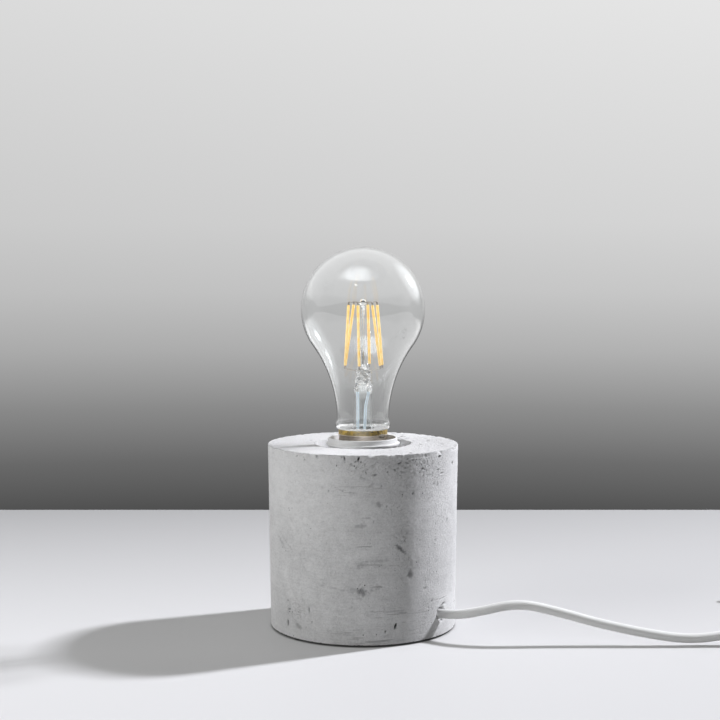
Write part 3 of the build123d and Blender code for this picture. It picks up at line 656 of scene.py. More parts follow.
@dataclass(frozen=True)
class TableTop(Finish):
    """White table, painted greyer towards its back edge and its right as a painted fall of light; it throws
    less light back than it shows.

    Glass and metal see it evenly lit as far as its front edge, and dim beyond.
    """

    name: str = "table_top"
    white: Colour = (0.564, 0.564, 0.568)
    # Painted glow that lifts the table and its shadows.
    painted_lift: Colour = (0.078, 0.078, 0.076)
    thrown: Colour = (0.34, 0.34, 0.335)
    mirrored: Colour = (1.1, 1.1, 1.11)
    beyond: Colour = (0.20, 0.20, 0.20)
    front_mm: float = -60.0
    back_mm: float = 357.0
    edge_mm: float = -745.0
    blur_mm: float = 40.0
    # Painted fall of light: tone left at the back edge, and the darkening to the right.
    behind: float = 0.56
    fall: float = 0.00045
    # Painted contact shade round the lamp's foot: the radii over which it fades, and the tone it keeps
    # inside.
    contact_shade_mm: Corner = (48.5, 51.4)
    contact_shade: float = 0.2

    def draw(self, graph: Graph) -> Value:
        """Draws the painted fall of light, the painted shade round the lamp's foot, a painted glow that lifts
        the table's shadows, and what mirrors see.

        Args:
            graph: Empty graph to draw in.

        Returns:
            The shader that the graph ends in.
        """
        across, back = graph.axis("X"), graph.axis("Y")
        # Painted fall of light, darker to the back and to the right.
        near = 1.0 - back.between(self.front_mm, self.back_mm, Fade.EVEN)
        tone = (self.behind + near * (1.0 - self.behind)) * (1.0 - across * near * self.fall)
        # Painted contact shade: the table darkens under the lamp's foot.
        under = (across**2.0 + back**2.0) ** 0.5
        tone = tone * (self.contact_shade + under.between(*self.contact_shade_mm) * (1.0 - self.contact_shade))
        path = graph.add("ShaderNodeLightPath")
        seen = path["Is Camera Ray"].most(path["Is Transmission Ray"])
        # Camera and transmission rays see the table with a painted glow that lifts its shadows.
        white, painted_lift = (graph.vectors("MULTIPLY", colour, tone) for colour in (self.white, self.painted_lift))
        lit = graph.surface(base_color=graph.mix(seen, self.thrown, white), roughness=0.6,
                            specular_ior_level=0.2, emission_strength=1.0,
                            emission_color=graph.mix(seen, (0.0, 0.0, 0.0), painted_lift))
        inside = back.between(self.edge_mm - self.blur_mm, self.edge_mm + self.blur_mm)
        image = graph.mix(inside, self.beyond, self.mirrored)
        glare = graph.add("ShaderNodeEmission", None, {"Color": image})["Emission"]
        return graph.blend(path["Is Glossy Ray"], lit, glare)


CONCRETE = CastConcrete()
BULB_GLASS = ClearGlass("bulb_glass")
STEM_GLASS = ClearGlass("stem_glass", (0.97, 0.985, 0.985), 1.5, 0.01, 0.3, 0.72, (128.0, 143.0))
# Both frosts carry a painted glow.
FROSTED_FOOT = Frost()
FROSTED_FLOOR = Frost("frosted_floor", (0.60, 0.60, 0.59), glow=0.06, patchy=2.0, most=0.5)
BLACK_GLASS = MouldedPlastic("black_glass", (0.015, 0.015, 0.018), 0.08, 0.004)
WHITE_SHELL = MouldedPlastic("white_shell", (0.76, 0.76, 0.755), 0.30)
ROCKER_WHITE = MouldedPlastic("rocker_white", (0.76, 0.76, 0.75), 0.26)
DARK_SHELL = MouldedPlastic("dark_shell", (0.03, 0.03, 0.032), 0.48, 0.05)
GREY_PLUG = MouldedPlastic("grey_plug", (0.30, 0.30, 0.31), 0.5)
PAD_RUBBER = MouldedPlastic("pad_rubber", (0.025, 0.025, 0.025), 0.75, 0.06)
BROWN_CORE = MouldedPlastic("brown_core", (0.13, 0.05, 0.025), 0.38)
BLUE_CORE = MouldedPlastic("blue_core", (0.02, 0.10, 0.38), 0.38)
PORCELAIN = MouldedPlastic("porcelain", (0.74, 0.73, 0.69), 0.4, 0.05)
# The sleeves carry a painted glow, to stay pale inside the glass.
SLEEVE = MouldedPlastic("pale_sleeve", (0.76, 0.87, 0.95), 0.42, 0.05, glow=0.32)
LAMINATE = MouldedPlastic("board_laminate", (0.70, 0.70, 0.64), 0.45)
DRIVER_BLACK = MouldedPlastic("driver_black", (0.02, 0.02, 0.024), 0.3)
TIE_WHITE = MouldedPlastic("tie_white", (0.72, 0.72, 0.71), 0.45, 0.04)
PIN_SLEEVE = MouldedPlastic("pin_sleeve", (0.04, 0.04, 0.04), 0.45)
NICKEL = Metal("nickel", (0.72, 0.66, 0.60), (0.42, 0.37, 0.32), 0.30)
BRASS = Metal("brass", (0.76, 0.57, 0.26), (0.46, 0.30, 0.12))
ZINC = Metal("zinc_steel", (0.66, 0.66, 0.64), (0.42, 0.42, 0.40), 0.32)
WELD = Metal("dull_weld", (0.34, 0.31, 0.27), (0.04, 0.035, 0.03), 0.36)
SOLDER = Metal("solder", (0.64, 0.64, 0.62), (0.40, 0.40, 0.39), 0.35)
WIRE = Metal("dull_wire", (0.52, 0.49, 0.46), (0.18, 0.16, 0.14), 0.3)
CEMENT = BakedCement()
PHOSPHOR = PhosphorCoat()
FLEX = FlexSheath()

FINISHED_NODES: dict[Finish, tuple[str, ...]] = {
    PAD_RUBBER: ("foot_pads",),
    DARK_SHELL: ("base_cover", "grip_saddle"),
    ZINC: (
        "cover_screws", "grip_screws", "holder_nipple", "nipple_washer", "nipple_nut", "dome_grub_screw",
        "terminal_screws", "rocker_pin", "switch_screws",
    ),
    GREY_PLUG: ("screw_plugs",),
    FLEX: ("cord_inner",),
    BROWN_CORE: ("core_live",),
    BLUE_CORE: ("core_neutral", "switch_wires"),
    WHITE_SHELL: ("holder_dome", "switch_base", "switch_cover", "plug_body"),
    PORCELAIN: ("holder_insert",),
    BRASS: ("terminal_clamps", "centre_contact", "side_contact", "switch_terminals", "switch_blade"),
    BLACK_GLASS: ("cap_insulator",),
    SOLDER: ("cap_contact",),
    LAMINATE: ("driver_board",),
    DRIVER_BLACK: ("driver_parts",),
    TIE_WHITE: ("cord_tie",),
    ROCKER_WHITE: ("switch_rocker",),
    NICKEL: ("plug_pins",),
    PIN_SLEEVE: ("pin_sleeves",),
}


# Mesh helpers


def arc(centre: Corner, radius: float, start: float, end: float, steps: int) -> list[Corner]:
    """Points along an arc of an outline.

    Args:
        centre: Centre, as radius and height.
        radius: Radius of the arc.
        start: First angle in degrees, from the outward direction towards up.
        end: Last angle in degrees.
        steps: Number of spans.

    Returns:
        The points, both ends among them.
    """
    turns = [math.radians(start + (end - start) * i / steps) for i in range(steps + 1)]
    return [(centre[0] + radius * math.cos(t), centre[1] + radius * math.sin(t)) for t in turns]


def run(start: Corner, end: Corner, steps: int) -> list[Corner]:
    """Points along a straight stretch of an outline, without its last one.

    Args:
        start: First point.
        end: Where the stretch ends.
        steps: Number of spans.

    Returns:
        The points, the start among them.
    """
    return [
        (start[0] + (end[0] - start[0]) * i / steps, start[1] + (end[1] - start[1]) * i / steps)
        for i in range(steps)
    ]


def chain(start: Corner, *legs: tuple[Corner, int]) -> list[Corner]:
    """Points along straight stretches that join, without the last one.

    Args:
        start: Where the first stretch starts.
        legs: End of each stretch, with its number of spans.

    Returns:
        The points, the start among them.
    """
    points = []
    for end, steps in legs:
        points += run(start, end, steps)
        start = end
    return points


def link(name: str, data: bpy.types.ID) -> bpy.types.Object:
    """Makes an object of mesh, curve, lamp or camera data, linked to the scene.

    Args:
        name: Name of the object.
        data: Mesh, curve, lamp or camera.

    Returns:
        The object.
    """
    made = bpy.data.objects.new(name, data)
    bpy.context.scene.collection.objects.link(made)
    return made


def evaluated_mesh(piece: bpy.types.Object) -> bpy.types.Mesh:
    """Mesh of a piece as its modifiers or its curve make it."""
    graph = bpy.context.evaluated_depsgraph_get()
    return bpy.data.meshes.new_from_object(piece.evaluated_get(graph))


class Shape:
    """A mesh under construction, in millimetres."""

    def __init__(self) -> None:
        """Starts empty."""
        self.mesh = bmesh.new()

    def turn(self, corners: Iterable[Corner], steps: int, closed: bool = True) -> None:
        """Spins an outline of (radius, height) corners round the lamp's axis.

        Args:
            corners: Outline, in order.
            steps: Number of steps round the axis.
            closed: Whether the outline's last corner joins its first.
        """
        verts = [self.mesh.verts.new((r, 0.0, z)) for r, z in corners]
        pairs = list(zip(verts, verts[1:]))
        if closed:
            pairs.append((verts[-1], verts[0]))
        edges = [self.mesh.edges.new(pair) for pair in pairs]
        bmesh.ops.spin(self.mesh, geom=verts + edges, cent=(0, 0, 0), axis=(0, 0, 1),
                       angle=math.tau, steps=steps, use_merge=True)
        bmesh.ops.remove_doubles(self.mesh, verts=self.mesh.verts, dist=JOIN_MM)
        bmesh.ops.recalc_face_normals(self.mesh, faces=self.mesh.faces)

    def hollow(self, corners: Iterable[Corner], steps: int) -> None:
        """Spins an outline to the wall of a hollow inside what is there.

        Args:
            corners: Outline, in order.
            steps: Number of steps round the axis.
        """
        before = set(self.mesh.faces)
        self.turn(corners, steps, closed=False)
        bmesh.ops.reverse_faces(self.mesh, faces=[f for f in self.mesh.faces if f not in before])

    def bar(self, start: Vector, end: Vector, radius: float, sides: int = 16) -> None:
        """Adds a round bar with eased ends between two points.

        Args:
            start: Middle of its first end.
            end: Middle of its last end.
            radius: Its radius.
            sides: Number of sides.
        """
        axis = end - start
        turn = axis.to_track_quat("Z", "Y").to_matrix().to_4x4()
        place = Matrix.Translation((start + end) / 2) @ turn
        made = bmesh.ops.create_cone(self.mesh, cap_ends=True, segments=sides, radius1=radius,
                                     radius2=radius, depth=axis.length, matrix=place)
        edges = {e for v in made["verts"] for e in v.link_edges}
        rims = {e for e in edges if any(len(f.verts) > 4 for f in e.link_faces)}
        bmesh.ops.bevel(self.mesh, geom=list(rims), offset=radius * 0.45, affect="EDGES", segments=3,
                        profile=0.5, material=-1)

    def move(self, shift: Callable[[Vector], Vector]) -> None:
        """Moves every point to where a function says."""
        for vert in self.mesh.verts:
            vert.co = shift(vert.co)

    def finish(self, name: str, finish: Finish, smooth_angle: float = 35.0) -> bpy.types.Object:
        """Makes an object of the mesh, at the origin and in metres.

        Args:
            name: Name of the piece.
            finish: Its finish.
            smooth_angle: Edges sharper than this stay sharp, in degrees.

        Returns:
            The object, linked to the scene.
        """
        bmesh.ops.transform(self.mesh, matrix=Matrix.Scale(MM, 4), verts=self.mesh.verts)
        limit = math.radians(smooth_angle)
        for face in self.mesh.faces:
            face.smooth = True
        for edge in self.mesh.edges:
            edge.smooth = edge.calc_face_angle(0.0) < limit
        data = bpy.data.meshes.new(name)
        self.mesh.to_mesh(data)
        self.mesh.free()
        data.materials.append(finish.material())
        return link(name, data)


def settle(piece: bpy.types.Object, body: Body, slot: str, *nodes: str) -> bpy.types.Object:
    """Puts a finished piece on its body, in place of the nodes that it stands for.

    Args:
        piece: The finished piece.
        body: Body that it moves with.
        slot: Material slot that it would take its finish from; not used.
        nodes: Nodes that it stands for.

    Returns:
        The piece.
    """
    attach(piece, body.value)
    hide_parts(*nodes)
    LOG.info("%s stands for %s", piece.name, ", ".join(nodes))
    return piece


def polar(radius: float, degrees: float, height: float) -> Vector:
    """Point at a radius, an angle from +X and a height."""
    turn = math.radians(degrees)
    return Vector((radius * math.cos(turn), radius * math.sin(turn), height))


def widened(point: Vector, share: float) -> Vector:
    """Point moved out from the lamp's axis, to a share of its radius."""
    return Vector((point.x * share, point.y * share, point.z))


def thread_wave(point: Vector, pitch: float) -> float:
    """Wave of a screw thread at a point, from 0 to 1."""
    turn = math.atan2(point.y, point.x) / math.tau
    return 0.5 - 0.5 * math.cos(math.tau * (point.z / pitch - turn))


def nearness(value: float, target: float, reach: float) -> float:
    """1 at a target, falling evenly to 0 at a reach from it."""
    return max(0.0, 1.0 - abs(value - target) / reach)


def smooth_share(value: float, low: float, high: float) -> float:
    """Smooth share of the way from one level to another, from 0 to 1."""
    share = min(1.0, max(0.0, (value - low) / (high - low)))
    return share * share * (3.0 - 2.0 * share)


# Concrete base


@dataclass(frozen=True)
class Mark:
    """A mark on the cast face, at an angle from the front towards the right, and a height.

    Its strength is a blowhole's depth in millimetres, or a share from 0 to 1 for a stain or a patch.
    """

    angle: float
    height: float
    width: float
    tall: float
    strength: float
    lean: float = 0.0


def marks(*rows: tuple[float, ...]) -> tuple[Mark, ...]:
    """Marks from rows of their numbers."""
    return tuple(Mark(*row) for row in rows)


def raise_to(values: list[float], index: int, value: float) -> None:
    """Raises one of a list's values to another, if it is lower."""
    values[index] = max(values[index], value)


@dataclass
class ConcreteBase:
    """The cast body, with its recess, its cavity, its blowholes, chips and stains."""

    low: float = 0.95
    top: float = 100.0
    bottom_radius: float = 50.55
    top_radius: float = 51.85
    recess_radius: float = 26.0
    recess_floor: float = 48.0
    web_low: float = 35.0
    bore_radius: float = 5.3
    cavity_radius: float = 32.0
    shoulder: float = 4.0
    rebate_radius: float = 41.0
    edge: float = 0.6
    steps: int = 450
    gather: float = 0.5
    hole_azimuth: float = CORD_AZIMUTH
    hole_height: float = CORD_HEIGHT
    hole_radius: float = 3.3
    hole_flare: tuple[Corner, ...] = ((-6.0, 1.0), (-3.0, 1.01), (-1.6, 1.06), (-0.6, 1.17), (0.2, 1.32))
    random_holes: int = 120
    top_holes: int = 26
    full_shade_depth: float = 0.95
    rim_reach: float = 3.0
    mouth_reach: float = 2.5
    foot_reach: float = 2.0
    fine_rows: Corner = (22.0, 86.0)
    blowholes: tuple[Mark, ...] = marks(
        (-51.7, 8.4, 1.6, 3.0, 1.3), (-50.0, 16.1, 1.8, 1.3, 0.6), (-33.8, 17.9, 0.9, 4.2, 0.7, 8.0),
        (-31.8, 11.4, 1.2, 1.0, 0.6), (19.4, 10.7, 1.3, 3.2, 1.4, -25.0), (13.2, 8.2, 1.2, 1.6, 1.0),
        (33.4, 55.4, 1.1, 0.9, 0.7), (-42.3, 8.1, 5.9, 2.7, 0.4, -25.0), (21.1, 95.3, 2.7, 0.9, 0.7, 15.0),
        (25.7, 95.3, 2.5, 0.8, 0.6, -10.0), (18.3, 92.1, 1.8, 0.8, 0.6), (50.9, 96.8, 2.2, 1.5, 0.9),
        (49.6, 90.0, 2.6, 1.2, 0.5), (36.5, 91.6, 1.0, 1.3, 0.7), (45.7, 83.3, 1.2, 0.9, 0.7),
        (67.3, 91.7, 2.2, 1.8, 0.8), (53.2, 87.8, 2.2, 0.8, 0.6), (29.7, 96.6, 1.7, 0.8, 0.6),
        (-10.6, 98.2, 0.9, 2.2, 0.8, 14.0), (-12.2, 98.7, 1.4, 0.8, 0.6),
        (-2.6, 98.1, 1.0, 2.6, 1.0, -18.0), (-1.2, 96.5, 0.9, 0.9, 0.7), (-4.2, 96.8, 1.5, 0.8, 0.6, 30.0),
        (-7.0, 95.5, 1.2, 1.0, 0.5), (1.9, 90.9, 1.0, 1.0, 0.5), (7.0, 89.8, 2.6, 1.0, 0.5, 20.0),
        (-27.8, 98.8, 1.7, 1.5, 0.6), (28.4, 37.3, 3.5, 4.2, 0.42, 15.0),
        (22.4, 50.9, 5.9, 1.6, 0.5, -42.0), (56.6, 17.4, 6.5, 1.2, 0.9, 10.0), (45.3, 21.4, 2.2, 1.0, 0.6),
        (3.9, 84.2, 4.1, 1.5, 0.35, 30.0), (-0.6, 88.3, 3.6, 1.2, 0.35, -20.0), (40.9, 74.9, 2.1, 1.0, 0.5),
        (60.0, 62.0, 2.1, 2.1, 0.5), (39.3, 28.7, 2.7, 1.0, 0.5), (48.2, 52.9, 2.4, 1.6, 0.4),
    )
    smudges: tuple[Mark, ...] = marks(
        (-0.4, 29.0, 6.2, 4.1, 1.0), (-6.4, 30.8, 9.3, 2.4, 0.5, -14.0), (6.3, 30.3, 7.2, 1.5, 0.5, 8.0),
        (-3.0, 26.1, 5.6, 1.5, 0.5, -25.0), (-1.8, 63.3, 7.7, 2.6, 0.65, 5.0), (1.6, 67.4, 5.1, 1.1, 0.6),
        (-6.9, 60.9, 4.6, 1.5, 0.35), (8.5, 74.6, 4.6, 2.6, 0.7, -30.0), (21.7, 51.4, 7.5, 2.4, 0.8, -42.0),
        (24.9, 48.6, 3.8, 1.6, 0.9, -42.0), (28.7, 37.3, 3.8, 5.4, 0.6, 15.0),
        (-2.0, 83.0, 34.0, 18.0, 0.2), (33.2, 41.0, 8.0, 3.6, 0.35), (-0.6, 43.3, 8.2, 4.6, 0.5, 20.0),
        (9.7, 45.3, 8.3, 2.0, 0.5), (-4.1, 39.2, 5.7, 2.0, 0.3), (-6.0, 80.3, 8.2, 2.3, 0.55),
        (5.0, 82.1, 11.3, 3.1, 0.35), (1.6, 87.3, 6.1, 2.0, 0.4), (-57.9, 51.0, 11.0, 2.1, 0.5, -35.0),
        (-47.2, 63.7, 3.8, 3.1, 0.4), (-32.8, 79.5, 3.7, 2.1, 0.5), (-46.8, 77.9, 3.8, 2.1, 0.45),
        (-24.1, 82.5, 2.8, 2.1, 0.45), (-43.1, 7.4, 10.0, 4.2, 0.35), (12.8, 24.8, 10.5, 2.6, 0.3),
        (-13.5, 19.0, 9.5, 1.5, 0.25), (-10.4, 97.0, 1.0, 4.1, 0.7), (-2.6, 97.1, 1.0, 3.6, 0.7),
        (-6.3, 94.5, 4.6, 1.5, 0.5), (-27.2, 98.3, 1.7, 2.1, 0.7), (6.1, 89.8, 3.6, 1.5, 0.6),
        (20.1, 18.6, 33.0, 0.6, 0.5, 2.2), (-53.3, 52.2, 22.1, 1.1, 0.5, -36.0),
        (-38.4, 42.5, 16.3, 1.1, 0.35, -62.0), (-13.5, 30.0, 24.3, 1.0, 0.5, -10.0),
        # The broad mark low on the left is part stain and part painted shade.
        (-48.0, 6.0, 62.0, 44.0, 0.24), (-19.4, 50.5, 4.9, 2.1, 0.3), (38.7, 64.6, 4.7, 2.1, 0.35),
        (49.5, 42.1, 4.0, 4.7, 0.3), (-10.6, 6.6, 12.6, 2.1, 0.35), (22.2, 3.2, 14.5, 1.0, 0.4),
        (160.0, 52.0, 10.0, 5.0, 0.6, 15.0), (205.0, 70.0, 15.0, 3.0, 0.5, -10.0),
        (120.0, 30.0, 8.0, 6.0, 0.6), (250.0, 40.0, 11.0, 3.6, 0.6, 25.0), (180.0, 20.0, 16.0, 2.2, 0.5),
        (95.0, 75.0, 7.0, 5.0, 0.5, -30.0), (225.0, 86.0, 9.0, 2.4, 0.5, 8.0),
        (140.0, 12.0, 14.0, 1.6, 0.5, -4.0),
    )
    rough_patches: tuple[Mark, ...] = marks(
        (38.0, 92.0, 42.0, 18.0, 0.8), (32.0, 80.0, 26.0, 12.0, 0.8), (4.0, 94.0, 30.0, 10.0, 0.7),
        (31.0, 44.0, 12.0, 9.0, 0.9), (24.0, 55.0, 9.0, 6.0, 0.7, -40.0), (42.0, 15.0, 12.0, 14.0, 0.8),
        (-45.0, 16.0, 16.0, 12.0, 0.7), (0.0, 31.0, 9.0, 7.0, 0.6), (60.0, 60.0, 20.0, 40.0, 0.2),
        (26.0, 58.0, 20.0, 66.0, 0.45), (150.0, 85.0, 50.0, 20.0, 0.8), (230.0, 30.0, 40.0, 24.0, 0.7),
    )
    pale_patches: tuple[Mark, ...] = marks(
        # The broad patch high on the left is part pale wear and part painted light.
        (-38.0, 84.0, 70.0, 56.0, 0.55), (45.0, 70.0, 34.0, 70.0, 0.35), (170.0, 40.0, 60.0, 40.0, 0.4),
        # The patch round the cord's hole is part broken-out concrete and part painted light.
        (54.4, 12.6, 11.0, 11.0, 0.9),
    )
    scored_patches: tuple[Mark, ...] = marks(
        (8.0, 6.0, 46.0, 10.0, 1.0), (22.0, 18.0, 40.0, 6.0, 0.8, 3.0), (-4.0, 82.0, 34.0, 8.0, 0.6),
        (8.0, 44.0, 24.0, 6.0, 0.6), (215.0, 60.0, 50.0, 14.0, 0.7),
    )

    def outline(self) -> list[Corner]:
        """Closed outline of the casting, with fine rows on the faces that show.

        Returns:
            Corners as radius and height.
        """
        e = self.edge
        fine_low, fine_high = (self.side(height) for height in self.fine_rows)
        low_edge = arc((self.bottom_radius - e / 2, self.low + e / 2), e / 2, -90, 0, 4)
        top_edge = arc((self.top_radius - e, self.top - e), e, 0, 90, 4)
        recess_edge = arc((self.recess_radius + e, self.top - e), e, 90, 180, 4)
        return [
            *run((self.rebate_radius, self.low), low_edge[0], 5),
            *low_edge,
            *chain(low_edge[-1], (fine_low, 24), (fine_high, 66), (top_edge[0], 30))[1:],
            *top_edge,
            *run(top_edge[-1], recess_edge[0], 32)[1:],
            *recess_edge,
            *chain(
                recess_edge[-1],
                ((self.recess_radius, self.recess_floor), 14), ((self.bore_radius, self.recess_floor), 4),
                ((self.bore_radius, self.web_low), 2), ((self.cavity_radius, self.web_low), 3),
                ((self.cavity_radius, self.shoulder), 3), ((self.rebate_radius, self.shoulder), 1),
                ((self.rebate_radius, self.low), 1),
            )[1:],
        ]

    def side(self, height: float) -> Corner:
        """Radius of the cast side at a height, and that height."""
        share = (height - self.low) / (self.top - self.low)
        return self.bottom_radius + (self.top_radius - self.bottom_radius) * share, height

    def on_face(self, angle: float, height: float) -> Vector:
        """Point on the cast side, at an angle from the front towards the right."""
        return polar(self.side(height)[0], angle - 90.0, height)

    def gathered(self, point: Vector) -> Vector:
        """Draws the mesh's columns together towards the front, where most detail shows.

        Args:
            point: Point of the evenly spun casting.

        Returns:
            Where it goes.
        """
        radius = math.hypot(point.x, point.y)
        angle = math.atan2(point.x, -point.y)
        angle -= self.gather * math.sin(angle)
        return Vector((radius * math.sin(angle), -radius * math.cos(angle), point.z))

    def scattered_holes(self) -> list[Mark]:
        """Small blowholes all round, more of them near the top and on one side.

        Returns:
            The blowholes.
        """
        rng = random.Random(SEED)
        holes = []
        for _ in range(self.random_holes):
            high = rng.random() < 0.55
            height = self.top - abs(rng.gauss(0.0, 16.0)) if high else rng.uniform(3.0, 96.0)
            angle = rng.gauss(44.0, 20.0) if high and rng.random() < 0.4 else rng.uniform(0.0, 360.0)
            size = rng.uniform(0.45, 1.05) * (1.5 if rng.random() < 0.08 else 1.0)
            holes.append(Mark(angle, max(3.0, height), size, size * rng.uniform(0.6, 1.3),
                              size * rng.uniform(0.35, 0.7), rng.uniform(0.0, 180.0)))
        return holes

    def pitted_top(self) -> Iterator[tuple[Vector, float]]:
        """Pits in the top face, most of them on the right.

        Yields:
            Middle of each pit, with its width.
        """
        rng = random.Random(SEED + 1)
        for _ in range(self.top_holes):
            angle = rng.gauss(20.0, 55.0)
            radius = rng.uniform(self.recess_radius + 3.0, self.top_radius - 1.5)
            yield polar(radius, angle, self.top), rng.uniform(1.0, 2.6)

    def spots(self, tree: kdtree.KDTree, points: list[Vector], mark: Mark) -> Iterator[tuple[int, float]]:
        """Points of the mesh that a mark covers.

        Args:
            tree: Points of the mesh, for finding near ones.
            points: The same points.
            mark: Blowhole, stain or patch.

        Yields:
            Number of each point, with its distance from the mark's middle in half widths.
        """
        middle = self.on_face(mark.angle, mark.height)
        across = polar(1.0, mark.angle, 0.0)
        lean = math.radians(mark.lean)
        reach = 1.6 * max(mark.width, mark.tall)
        for _, index, _ in tree.find_range(middle, reach):
            away = points[index] - middle
            x, z = away.dot(across), away.z
            along = x * math.cos(lean) + z * math.sin(lean)
            up = z * math.cos(lean) - x * math.sin(lean)
            yield index, math.hypot(2.0 * along / mark.width, 2.0 * up / mark.tall)

    def weather(self, shape: Shape) -> dict[str, list[float]]:
        """Roughens the casting: waves, chipped edges, blowholes and stains.

        Args:
            shape: The smooth casting, which is changed.

        Returns:
            Numbers for each point: stain, pit, worn, rough, scored and level. Pit also carries the painted
                shade of the blowholes and of the underside.
        """
        shape.mesh.verts.ensure_lookup_table()
        shape.mesh.normal_update()
        verts = list(shape.mesh.verts)
        points = [v.co.copy() for v in verts]
        normals = [v.normal.copy() for v in verts]
        tree = kdtree.KDTree(len(points))
        for index, point in enumerate(points):
            tree.insert(point, index)
        tree.balance()
        depth = [0.0] * len(points)
        found = {name: [0.0] * len(points) for name in ("stain", "pit", "worn", "rough", "scored", "level")}
        for index, point in enumerate(points):
            depth[index], found["worn"][index] = self.wear(point)
        for hole in (*self.blowholes, *self.scattered_holes()):
            for index, distance in self.spots(tree, points, hole):
                ragged = distance + 0.5 * noise.noise(points[index] * 1.3)
                share = 1.0 - smooth_share(ragged, 0.5, 1.15)
                raise_to(depth, index, share * hole.strength)
                # The pit's painted shade deepens with the blowhole's depth.
                raise_to(found["pit"], index, share * min(1.0, (hole.strength / self.full_shade_depth) ** 1.3))
        for middle, width in self.pitted_top():
            for _, index, _ in tree.find_range(middle, width):
                away = points[index] - middle
                share = 1.0 - smooth_share(math.hypot(2.0 * away.x, away.y) / width, 0.3, 1.0)
                raise_to(depth, index, 0.6 * share)
                raise_to(found["pit"], index, 0.75 * share)
        for smudge in self.smudges:
            for index, distance in self.spots(tree, points, smudge):
                ragged = distance + 0.7 * noise.noise(points[index] * 0.7)
                share = (1.0 - smooth_share(ragged, 0.1, 1.5)) * smudge.strength
                raise_to(found["stain"], index, share)
        patches = {"rough": self.rough_patches, "worn": self.pale_patches, "scored": self.scored_patches}
        for name, patch in ((name, patch) for name, group in patches.items() for patch in group):
            for index, distance in self.spots(tree, points, patch):
                share = (1.0 - smooth_share(distance, 0.3, 1.4)) * patch.strength
                raise_to(found[name], index, share)
        for index, point in enumerate(points):
            if point.z > self.top - 0.5:
                speckled = 0.35 + 0.3 * smooth_share(point.x, -20.0, 40.0)
                raise_to(found["rough"], index, speckled)
        for index, rough in enumerate(found["rough"]):
            crumb = noise.fractal(points[index] * 0.45, 0.7, 2.1, 3)
            depth[index] += 0.07 * rough * smooth_share(crumb, -0.1, 0.5)
            # Painted shade: the underside is marked as a full pit, so the gap under the foot reads dark.
            if points[index].z < self.low + 0.25:
                found["pit"][index] = 1.0
            # level marks the top face, which the finish tones down as painted shade.
            found["level"][index] = smooth_share(points[index].z, self.top - 0.5, self.top - 0.1)
        for vert, normal, inward in zip(verts, normals, depth):
            vert.co -= normal * inward
        return found

    def wear(self, point: Vector) -> tuple[float, float]:
        """How far the cast face lies under the mould's at a point, and how worn it is there.

        Args:
            point: Point of the smooth casting.

        Returns:
            Depth in millimetres, and wear from 0 to 1.
        """
        radius = math.hypot(point.x, point.y)
        outside = radius > self.recess_radius - 0.5 and point.z > self.low + 0.05
        if not outside or (radius < self.rebate_radius + 0.5 and point.z < self.recess_floor):
            return 0.0, 0.0
        waves = 0.14 + 0.14 * noise.fractal(point * 0.035, 0.9, 2.0, 3)
        grit = 0.05 * noise.noise(point * 0.9)
        edges = (
            (self.top, self.top_radius, self.rim_reach), (self.top, self.recess_radius, self.mouth_reach),
            (self.low, self.bottom_radius, self.foot_reach),
        )
        rim, mouth, foot = (nearness(point.z, height, reach) * nearness(radius, ring, reach)
                            for height, ring, reach in edges)
        chip = smooth_share(noise.fractal(point * 0.32, 0.8, 2.1, 4), 0.05, 0.75)
        crumb = smooth_share(noise.noise(point * 0.8 + Vector((9.0, 3.0, 5.0))), 0.1, 0.6)
        nick = smooth_share(noise.noise(point * 1.5 + Vector((4.0, 7.0, 1.0))), 0.2, 0.6)
        chips = (rim * 1.5 + mouth * 1.2) * (0.75 * chip + 0.35 * crumb + 0.3 * nick) + foot * 0.4 * crumb
        return max(0.0, waves + grit) + chips, min(1.0, 1.6 * chips)

    def cord_hole(self) -> bpy.types.Object:
        """Ragged cutter of the flex's hole, wider where its rim has broken out.

        Returns:
            The cutter, marked as worn all over: its faces are painted pale, part broken-out concrete and part
                painted light on the hole's shaded wall.
        """
        shape = Shape()
        inner, reach = self.cavity_radius - 1.0, self.top_radius + 4.0
        place = Matrix.Rotation(math.radians(self.hole_azimuth), 4, "Z")
        place = place @ Matrix.Translation((0.0, 0.0, self.hole_height))
        place = place @ Matrix.Rotation(math.pi / 2, 4, "Y")
        flared = [(self.bottom_radius + out, share) for out, share in self.hole_flare]
        rows = [(inner, 1.0), *flared, (reach, 1.5)]
        wall = [(self.hole_radius * share, along) for along, share in rows]
        shape.turn([(0.0, inner), *wall, (0.0, reach)], 72, closed=False)

        def ragged(point: Vector) -> Vector:
            """Roughens the cutter, most at the mouth.

            Args:
                point: Point of the smooth cutter, which stands on the axis.

            Returns:
                Its place on the casting.
            """
            mouth = smooth_share(point.z, self.bottom_radius - 4.0, self.bottom_radius)
            wobble = 1.0 + (0.03 + 0.16 * mouth) * noise.fractal(point * 0.5, 0.9, 2.0, 3)
            return place @ widened(point, wobble)

        shape.move(ragged)
        cutter = shape.finish("cord_hole_cutter", CONCRETE)
        # Painted light: the hole's wall is marked worn, so it shows pale in its shade.
        broken = [1.0] * len(cutter.data.vertices)
        cutter.data.attributes.new("worn", "FLOAT", "POINT").data.foreach_set("value", broken)
        return cutter

    def build(self) -> bpy.types.Object:
        """Builds the casting.

        Returns:
            The finished piece.
        """
        shape = Shape()
        shape.turn(self.outline(), self.steps)
        shape.move(self.gathered)
        found = self.weather(shape)
        body = shape.finish("cast_body", CONCRETE, 50.0)
        for name, values in found.items():
            body.data.attributes.new(name, "FLOAT", "POINT").data.foreach_set("value", values)
        cutter = self.cord_hole()
        cut = body.modifiers.new("cord_hole", "BOOLEAN")
        cut.operation = "DIFFERENCE"
        cut.solver = "EXACT"
        cut.object = cutter
        data = evaluated_mesh(body)
        body.modifiers.clear()
        body.data = data
        bpy.data.objects.remove(cutter)
        return settle(body, Body.BASE, "concrete", "concrete_body")


# Lamp holder


